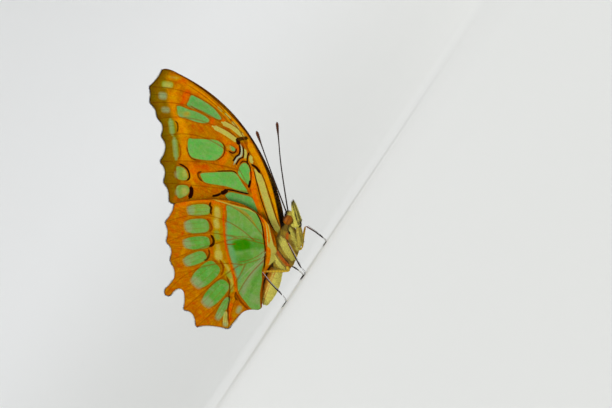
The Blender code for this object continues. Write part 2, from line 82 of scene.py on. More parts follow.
# Hindwing, in the same plane
HIND_HINGE = (-5.2, 7.6)
HIND_SHOULDER = ((-2.2, 9.6), (1.6, 12.6), (1.3, 16.5))
HIND_COSTA = ((1.3, 16.5), (1.9, 23.0), (-2.9, 29.0), (-8.9, 34.7))
HIND_TAIL_ABOVE = ((-24.4, 24.3), (-27.0, 25.4))
HIND_TAIL_TIP = ((-29.3, 25.8), (-31.3, 25.8), (-31.3, 23.9), (-29.5, 23.9))
HIND_TAIL_BELOW = ((-27.4, 23.9), (-25.0, 22.4), (-28.0, 20.6))
HIND_TORNUS = ((-23.5, 7.4), (-22.0, 8.0), (-20.0, 4.4))
HIND_INNER_MARGIN = ((-19.0, 4.0), (-14.5, 6.5), (-9.5, 9.4), (-6.2, 7.2))
HIND_STEMS = {
    "upper": ((-3.0, 9.2), (-5.2, 15.0), (-7.2, 18.0)),
    "lower": ((-4.4, 8.6), (-8.2, 10.6), (-13.2, 14.2)),
}

# Veins: where each leaves its stem (0 root, 1 end), its tooth on the margin, how far it bows
# forwards or upwards, and how deep the margin is scalloped beyond its tooth
FORE_VEINS = {
    "radius_3": ("radial", 0.80, (18.0, 46.5), 2.2, 0.0),
    "radius_4": ("radial", 1.00, (17.0, 53.1), 3.4, 0.25),
    "radius_5": ("radial", 0.97, (11.5, 53.7), 4.5, 0.2),
    "media_1": ("radial", 1.00, (8.2, 51.8), 3.6, 0.5),
    "media_2": ("radial", 0.98, (6.0, 48.4), 2.9, 0.85),
    "media_3": ("cubital", 1.00, (2.7, 45.5), 2.6, 1.15),
    "cubitus_1": ("cubital", 0.82, (-2.9, 42.8), 1.1, 0.9),
    "cubitus_2": ("cubital", 0.55, (-6.9, 39.6), 0.2, 0.6),
    "anal": ("cubital", 0.05, (-10.2, 36.1), -0.6, 0.0),
}
HIND_VEINS = {
    "subcosta": ("upper", 0.12, (-8.9, 34.7), 5.0, 0.35),
    "radius": ("upper", 0.45, (-14.6, 34.2), 3.9, 0.5),
    "media_1": ("upper", 0.95, (-18.8, 31.5), 1.8, 0.9),
    "media_2": ("upper", 1.00, (-22.3, 28.5), 0.4, 0.0),
    "media_3": ("lower", 0.90, (-30.4, 25.0), 3.0, 0.0),
    "cubitus_1": ("lower", 1.00, (-31.5, 19.4), 0.4, 1.35),
    "cubitus_2": ("lower", 0.82, (-33.5, 14.6), -1.1, 0.55),
    "anal": ("lower", 0.10, (-28.8, 7.9), 2.3, 0.0),
}
SCALLOP_SKEW = 0.75
OUTLINE_STEPS = 16
OUTLINE_SPACING = 0.22
ROUNDING_PASSES = 3

# The wings' distance from the middle plane of the body
FORE_TIP_OFFSET = 0.7
FORE_ROOT_SPREAD = 1.75
FORE_SPREAD_REACH = 28.0
FORE_ROOT_SINK = 1.0
HIND_TIP_OFFSET = 2.2
HIND_ROOT_SPREAD = 1.4
HIND_SPREAD_REACH = 9.0
HIND_ROOT_DIP = 1.3
HIND_DIP_REACH = 3.0
SINK_REACH = 2.2
PLEAT_DEPTH = 0.07
PLEAT_REACH = 1.6

# Veins: how much each narrows towards its end, how near the margin it fades, and the furthest crest that
# counts, in half widths and in millimetres
VEIN_TAPER = 0.55
VEIN_FADE = 0.6
FURTHEST_RATIO = 4.0
FURTHEST_CREST = 9.0

# Distance from the hinge at which a turn about it is measured for the rows of scales
FLOW_RADIUS = 22.0

# Tufts: share of the length and fullness at each level of a blade, the step between levels on the unwrap,
# the spacing and half width of the fringe, and how many are scattered over each surface
BLADE_LEVELS = ((0.0, 0.8), (0.4, 1.0), (0.75, 0.65))
UNWRAP_STEP = 0.001
FRINGE_SPACING = 0.06
FRINGE_HALF_WIDTH = 0.035
ABDOMEN_TUFTS = 9000
THORAX_TUFTS = 21000
HEAD_TUFTS = 9000
PALP_TUFTS = 2600
FORELEG_TUFTS = 1300

# The left forewing leans this much further back than its fellow
FAR_LAG = math.radians(0.9)

# Half width of each layer's edge, in the order that they are painted; the soft ones blend where they cross
LAYERS = {"wash": 0.75, "patch": 0.17, "glow": 0.55, "band": 0.13, "stroke": 0.09}
SOFT_LAYERS = ("wash", "glow")

# Distance at which an edge no longer counts, and the power that rounds a spot's corners
FAR = 2.0
SPOT_ROUNDNESS = 0.66

# Hindwing spots: middle, half length, half width, turn of the long axis in degrees, colour
HIND_SPOTS = (
    (-6.7, 28.9, 2.7, 1.4, -50, "moss"),
    (-10.5, 27.3, 2.9, 1.8, -49, "leaf"),
    (-14.2, 25.2, 3.2, 1.6, -48, "sage"),
    (-18.0, 23.6, 2.9, 1.45, -32, "leaf"),
    (-19.9, 19.5, 4.0, 2.2, -13, "sage"),
    (-22.6, 15.1, 4.2, 1.9, -8, "sage"),
    (-24.9, 11.7, 3.3, 0.9, 4, "leaf"),
    (-26.9, 9.7, 1.9, 0.75, 24, "cream"),
)

# Body rings, rear to front: x, z, half width, half height
THORAX_RINGS = (
    (-9.15, 6.3, 1.45, 1.6),
    (-8.5, 6.35, 1.6, 1.95),
    (-7.0, 6.5, 1.9, 2.75),
    (-5.0, 7.05, 2.2, 3.3),
    (-2.5, 7.8, 2.35, 3.5),
    (-0.5, 8.35, 2.15, 3.2),
    (0.9, 8.85, 1.7, 2.55),
    (1.9, 9.5, 1.05, 1.5),
    (2.4, 9.8, 0.9, 1.1),
    (2.95, 10.05, 1.1, 1.25),
    (3.65, 10.25, 1.3, 1.42),
    (4.35, 10.45, 1.15, 1.28),
    (4.8, 10.6, 0.72, 0.82),
    (5.0, 10.65, 0.3, 0.35),
    (5.05, 10.65, 0.0, 0.0),
)
ABDOMEN_FRONT = (-9.3, 6.35)
ABDOMEN_TIP = (-18.7, 4.27)
ABDOMEN_HALF_WIDTH = 1.98
ABDOMEN_HALF_HEIGHT = 2.15
ABDOMEN_SEGMENTS = 7
SEGMENT_GROOVE = 0.14
BODY_ROWS = 190
BODY_SIDES = 60

# Head
ANTENNA_ROOT = (4.2, 0.5, 11.3)
ANTENNA_REACH = {1: ((11.6, 3.4, 18.6), (19.0, 6.5, 25.2)), -1: ((11.9, -3.3, 19.4), (19.6, -6.4, 27.0))}
ANTENNA_RADII = (0.18, 0.18, 0.15, 0.15, 0.27, 0.37, 0.28)
ANTENNA_RINGS = 46
PALP_PATH = ((3.0, 0.95, 9.5), (3.4, 1.0, 8.1), (4.95, 0.88, 9.6), (7.15, 0.6, 11.7))
PALP_RADII = (0.4, 0.56, 0.5, 0.14)
PROBOSCIS_CENTRE = (3.3, 7.85)
PROBOSCIS_PITCH = 0.5
PROBOSCIS_TURNS = 1.2
PROBOSCIS_STEPS = 16

# Legs: the hip, two places along the thigh, the knee, two along the shin, the heel and the toe
SOLE = 0.15
LEG_PATHS = {
    "midleg_right": ((-2.9, -1.3, 4.9), (-2.8, -2.3, 3.9), (-1.2, -3.4, 5.8), (0.1, -4.3, 7.5),
                     (0.2, -4.7, 7.2), (-1.2, -5.5, 4.3), (-2.2, -6.1, 2.2), (-2.9, -6.5, SOLE),
                     (-4.3, -6.8, SOLE)),
    "midleg_left": ((-2.9, 1.3, 4.9), (-2.2, 2.3, 4.0), (-0.3, 4.4, 5.4), (1.2, 6.1, 6.3),
                    (1.4, 6.4, 6.0), (1.3, 6.5, 3.6), (1.1, 6.6, 1.6), (0.7, 6.7, SOLE),
                    (-0.7, 6.9, SOLE)),
    "hindleg_right": ((-6.6, -1.2, 4.6), (-6.9, -2.1, 3.5), (-8.3, -3.5, 6.2), (-9.7, -4.5, 8.7),
                      (-10.0, -4.8, 8.5), (-10.4, -5.5, 5.6), (-10.8, -6.1, 2.6), (-11.6, -6.4, SOLE),
                      (-13.2, -6.8, SOLE)),
    "hindleg_left": ((-6.6, 1.2, 4.6), (-6.9, 2.1, 3.5), (-7.9, 3.5, 6.0), (-8.9, 4.4, 8.2),
                     (-9.1, 4.7, 8.0), (-9.2, 5.3, 5.2), (-9.3, 5.8, 2.4), (-9.8, 6.1, SOLE),
                     (-11.3, 6.4, SOLE)),
}
FORELEG_PATH = ((-0.1, 0.7, 6.6), (-0.5, 1.05, 4.9), (1.0, 1.0, 6.0), (2.4, 0.9, 7.1), (3.2, 0.8, 7.8))
FORELEG_RADII = (0.36, 0.44, 0.44, 0.38, 0.2)
FOOT_JOINTS = (0.58, 0.7, 0.8, 0.9, 1.0)
FOOT_RADII = (0.12, 0.13, 0.15, 0.14)
SPINE_TURNS = (0.4, 1.3, 2.3, 3.6, 5.2)

# Camera, set to the side view of the insect with the floor's line running up to the right
AIM = (8.76, 0.0, 8.95)
CAMERA_DISTANCE = 300.0
CAMERA_TURN = math.radians(24)
CAMERA_TILT = math.radians(-1)
CAMERA_ROLL = math.radians(56)
CAMERA_LENS = 76.727

# Stage, in metres
FLOOR_RADIUS = 0.5
FLOOR_BEND = 0.45
WALL_TOP = 0.5
BEND_STEPS = 18
SOFTBOX_WIDTH = 0.45
SOFTBOX_AIM = (0.0, 0.0, 0.02)


def tone(red, green, blue):
    """Scene-linear colour of a judged shade, each channel from 0 to 255."""
    shares = (channel / 255 for channel in (red, green, blue))
    return tuple(share / 12.92 if share < 0.04 else ((share + 0.055) / 1.055) ** 2.4 for share in shares)


def shade(name, description, *channels):
    """Colour setting with its default given as tone takes it."""
    return FloatVectorProperty(name=name, description=description, default=tone(*channels),
                               size=3, min=0.0, max=1.0, subtype="COLOR")


def length(name, description, millimetres):
    """Length setting, shown in scene units."""
    return FloatProperty(name=name, description=description, default=millimetres * MM, min=0.0,
                         subtype="DISTANCE", unit="LENGTH")


class BUTTERFLY_PG_colours(bpy.types.PropertyGroup):
    """Colours of the scales and hairs."""

    orange: shade("Orange", "Ground of the wings' undersides", 194, 112, 3)
    marigold: shade("Marigold", "Yellow-orange of the bright bands and halos", 220, 140, 12)
    tangerine: shade("Tangerine", "Clear orange bands", 224, 116, 18)
    olive: shade("Olive", "Shaded edge of the forewing's border", 98, 76, 8)
    umber: shade("Umber", "Outer border of the forewing's underside", 132, 94, 3)
    amber: shade("Amber", "Yellow-brown bands and shaded orange", 176, 118, 4)
    flame: shade("Flame", "Red-orange flushes", 214, 84, 22)
    rose: shade("Rose", "Median line of the hindwing", 206, 92, 46)
    jade: shade("Jade", "Green windows", 108, 176, 84)
    mint: shade("Mint", "Bluer windows near the wing tip", 108, 168, 88)
    leaf: shade("Leaf", "Softer green of the hindwing", 112, 160, 76)
    fern: shade("Fern", "Deepest green of the hindwing", 52, 128, 20)
    sage: shade("Sage", "Darker green of the hindwing's spots", 98, 156, 66)
    sea: shade("Sea", "Bluish green along the median line", 108, 160, 108)
    moss: shade("Moss", "Greyish green of the pale spots", 130, 160, 68)
    mist: shade("Mist", "Grey green where a spot fades out", 146, 160, 112)
    cream: shade("Cream", "Pale bars of the wings", 190, 180, 92)
    down: shade("Down", "Whitish fringe in the hollows of the margins", 214, 212, 190)
    ivory: shade("Ivory", "Pale stripes of the body's fur", 246, 234, 108)
    bark: shade("Bark", "Brown hair between the body's pale stripes", 128, 96, 44)
    straw: shade("Straw", "Yellow fur, palps and thighs", 214, 178, 48)
    rust: shade("Rust", "Brown veins and fold lines", 132, 62, 8)
    ink: shade("Ink", "Black-brown lines", 36, 12, 8)
    soot: shade("Soot", "Upper side of the wings", 44, 26, 14)
    amberglass: shade("Eye", "Brown of the eyes", 190, 106, 0)


class BUTTERFLY_PG_wings(bpy.types.PropertyGroup):
    """Sizes of the wings."""

    cell: length("Cell", "Size of the net that carries each wing's shape and markings", 0.155)
    vein: length("Vein", "Thickness of the wing at the crest of a vein", 0.34)
    membrane: FloatProperty(name="Membrane", description="Thickness between the veins, as a share of a vein",
                            default=0.42, min=0.1, max=1.0, subtype="FACTOR")
    vein_width: length("Vein width", "Half width of a vein at the wing root", 0.3)
    fringe: length("Fringe", "Length of the scales that fringe the outer margins", 0.42)


class BUTTERFLY_PG_body(bpy.types.PropertyGroup):
    """Sizes of the coat."""

    thorax_hair: length("Thorax hair", "Length of the hairs on the thorax", 1.15)
    abdomen_hair: length("Abdomen hair", "Length of the scales on the abdomen", 0.5)
    head_hair: length("Head hair", "Length of the hairs on the head", 0.62)
    density: FloatProperty(name="Density", description="Share of the coat's tufts that are made",
                           default=1.0, min=0.05, max=1.0, subtype="FACTOR")
    seed: IntProperty(name="Seed", description="Start of the random draws", default=7)


class BUTTERFLY_PG_stage(bpy.types.PropertyGroup):
    """Floor and lights."""

    floor: shade("Floor", "Pale floor and wall", 226, 226, 222)
    key: FloatProperty(name="Key light", description="Power of the softbox before the insect, in watts",
                       default=2.05, min=0.0)
    back: FloatProperty(name="Back light", description="Power of the softbox behind the insect, in watts",
                        default=1.4, min=0.0)
    sky: FloatProperty(name="Sky", description="Strength of the soft light from above", default=0.7, min=0.0)


def palette():
    """Colours of the sidebar by name."""
    group = bpy.context.scene.butterfly_colours
    return {name: np.array(getattr(group, name)) for name in BUTTERFLY_PG_colours.__annotations__}


def unit(value):
    """Value held between 0 and 1."""
    return np.clip(value, 0.0, 1.0)


def blended(base, other, share):
    """Base with a share of the other laid over it."""
    return base * (1 - share) + other * share


def unit_rows(rows):
    """Rows scaled to length 1."""
    return rows / (np.linalg.norm(rows, axis=1)[:, None] + 1e-12)


def run_lengths(run):
    """Length along a run up to each of its points."""
    return np.concatenate(((0.0,), np.cumsum(np.linalg.norm(np.diff(run, axis=0), axis=1))))


def sampled(at, span, run):
    """Values of a run at stations along it."""
    return np.stack([np.interp(at, span, values) for values in run.T], axis=1)


def smooth_run(controls, per_span, closed=False):
    """Catmull-Rom run through control points of any dimension."""
    points = np.array(controls, float)
    if closed:
        padded = np.vstack((points[-1:], points, points[:2]))
    else:
        padded = np.vstack((points[:1] * 2 - points[1:2], points, points[-1:] * 2 - points[-2:-1]))
    t = (np.arange(per_span) / per_span)[:, None]
    spans = []
    for before, start, end, after in zip(padded, padded[1:], padded[2:], padded[3:]):
        bend = (end - before) * t + (2 * before - 5 * start + 4 * end - after) * t ** 2
        spans.append(start + (bend + (3 * start - before - 3 * end + after) * t ** 3) / 2)
    if not closed:
        spans.append(points[-1:])
    return np.vstack(spans)


def bezier(controls, count):
    """Points along a Bezier curve through its first and last control, ends included."""
    shares = np.linspace(0.0, 1.0, count + 1)[:, None]
    level = [np.array(control, float) for control in controls]
    while len(level) > 1:
        level = [a * (1 - shares) + b * shares for a, b in zip(level, level[1:])]
    return level[0]


def bowed(start, end, bow, count):
    """Curve whose middle stands off the chord by the bow, to its right as seen from the start."""
    chord = np.subtract(end, start)
    side = np.array((chord[1], -chord[0])) / np.linalg.norm(chord)
    return bezier((start, np.add(start, end) / 2 + side * bow * 2, end), count)


def scallop(start, end, depth):
    """Hollow of the margin between two teeth, deepest nearer the first; the last point is left off."""
    chord = np.subtract(end, start)
    inward = np.array((-chord[1], chord[0])) / np.linalg.norm(chord)
    share = np.arange(OUTLINE_STEPS)[:, None] / OUTLINE_STEPS
    return start + chord * share + inward * depth * np.sin(math.pi * share ** SCALLOP_SKEW)


def scalloped(veins, names):
    """Margin through the teeth of the named veins, in order; the last tooth is left off."""
    return [scallop(veins[name][2], veins[following][2], veins[name][4])
            for name, following in zip(names, names[1:])]


def rounded(run):
    """Closed run sampled evenly, with its corners eased."""
    ring = np.vstack((run, run[:1]))
    span = run_lengths(ring)
    at = np.linspace(0.0, span[-1], round(span[-1] / OUTLINE_SPACING), endpoint=False)
    even = sampled(at, span, ring)
    for _ in range(ROUNDING_PASSES):
        even = (np.roll(even, 1, axis=0) + 2 * even + np.roll(even, -1, axis=0)) / 4
    return even


def forewing_outline():
    """Leading edge, rounded tip, scalloped outer margin and inner margin."""
    parts = [bezier(FORE_COSTA, 60)[:-1], bezier(FORE_APEX, 8)[:-1]]
    parts += scalloped(FORE_VEINS, list(FORE_VEINS)[1:])
    return rounded(np.vstack(parts + [bezier(FORE_INNER_MARGIN, 40)]))


def hindwing_outline():
    """Shoulder, leading edge, scalloped margin with its tail, tornus and inner margin."""
    teeth = {name: row[2] for name, row in HIND_VEINS.items()}
    parts = [bezier(HIND_SHOULDER, 14)[:-1], bezier(HIND_COSTA, 40)[:-1]]
    parts += scalloped(HIND_VEINS, ["subcosta", "radius", "media_1", "media_2"])
    parts.append(bezier((teeth["media_2"], *HIND_TAIL_ABOVE, HIND_TAIL_TIP[0]), 20)[:-1])
    parts.append(bezier(HIND_TAIL_TIP, 16)[:-1])
    parts.append(bezier((HIND_TAIL_TIP[-1], *HIND_TAIL_BELOW, teeth["cubitus_1"]), 28)[:-1])
    parts += scalloped(HIND_VEINS, ["cubitus_1", "cubitus_2", "anal"])
    parts.append(bezier((teeth["anal"], *HIND_TORNUS), 20))
    return rounded(np.vstack(parts + [bezier(HIND_INNER_MARGIN, 30)]))


def reach(points, hinge):
    """Distance of points in the plane of the wing from a hinge."""
    return np.hypot(points[:, 0] - hinge[0], points[:, 1] - hinge[1])


def fore_offset(points):
    """Distance of the forewing from the middle plane of the body, less where its root enters the thorax."""
    near = unit(1.0 - reach(points, FORE_HINGE) / FORE_SPREAD_REACH)
    sink = FORE_ROOT_SINK * np.exp(-(reach(points, FORE_HINGE) / SINK_REACH) ** 2)
    return FORE_TIP_OFFSET + FORE_ROOT_SPREAD * near ** 2 - sink


def hind_offset(points):
    """The same for the hindwing, which passes outside the forewing and dips to its own root."""
    swell = HIND_ROOT_SPREAD * np.exp(-(reach(points, FORE_HINGE) / HIND_SPREAD_REACH) ** 2)
    dip = HIND_ROOT_DIP * np.exp(-(reach(points, HIND_HINGE) / HIND_DIP_REACH) ** 2)
    return HIND_TIP_OFFSET + swell - dip


def vein_crests(veins, stems):
    """Crest line of each stem and of each vein that leaves it."""
    crests = [bezier(controls, 24) for controls in stems.values()]
    for stem, share, tooth, bow, _ in veins.values():
        start = bezier(stems[stem], 100)[round(share * 100)]
        crests.append(bowed(start, tooth, bow, 24))
    return crests


def nearest(points, run, closed=False):
    """Distance from each point to a run, its foot there, and how far along the run that is (0 to 1)."""
    following = np.roll(run, -1, axis=0) if closed else run[1:]
    best = np.full(len(points), np.inf)
    foot = np.zeros(points.shape)
    along = np.zeros(len(points))
    for index, (start, end) in enumerate(zip(run, following)):
        span = end - start
        share = unit((points - start) @ span / max(span @ span, 1e-12))
        spot_there = start + share[:, None] * span
        gap = np.hypot(*(points - spot_there).T)
        closer = gap < best
        best[closer] = gap[closer]
        foot[closer] = spot_there[closer]
        along[closer] = index + share[closer]
    return best, foot, along / len(following)


def inside(points, run):
    """Whether each point lies within a closed run, by counting the edges to its right."""
    crossed = np.zeros(len(points), bool)
    for start, end in zip(run, np.roll(run, -1, axis=0)):
        if start[1] != end[1]:
            spans = (start[1] > points[:, 1]) != (end[1] > points[:, 1])
            across = start[0] + (points[:, 1] - start[1]) / (end[1] - start[1]) * (end[0] - start[0])
            crossed ^= spans & (across > points[:, 0])
    return crossed


def area(layer, colour, *points, strength=1.0):
    """Marking that fills a closed smooth outline."""
    return (layer, colour, strength, 0.0, True, smooth_run(points, 6, closed=True))


def line(layer, colour, half_width, *points, strength=1.0):
    """Marking along a smooth open line."""
    return (layer, colour, strength, half_width, False, smooth_run(points, 6))


def heading(turn):
    """Direction turned up from +X by the turn in degrees, and the one square to it."""
    along = np.array((math.cos(math.radians(turn)), math.sin(math.radians(turn))))
    return along, np.array((-along[1], along[0]))


def spot(layer, colour, x, z, half_length, half_width, turn=0.0, strength=1.0):
    """Rounded oblong marking, its long axis turned up from +X by the turn in degrees."""
    angles = np.linspace(0.0, math.tau, 20, endpoint=False)
    circle = np.column_stack((np.cos(angles), np.sin(angles)))
    oblong = np.sign(circle) * np.abs(circle) ** SPOT_ROUNDNESS * (half_length, half_width)
    return (layer, colour, strength, 0.0, True, (x, z) + oblong @ np.array(heading(turn)))


def border_lines(veins, stems, first, last, from_share, strength):
    """Fine dark lines down the outer part of each vein and midway between each two neighbours."""
    crests = vein_crests(veins, stems)[len(stems):][first:last]
    middles = [(above + below) / 2 for above, below in zip(crests, crests[1:])]
    return [("stroke", "ink", strength, 0.05, False, run[int(from_share * len(run)):])
            for run in crests + middles]


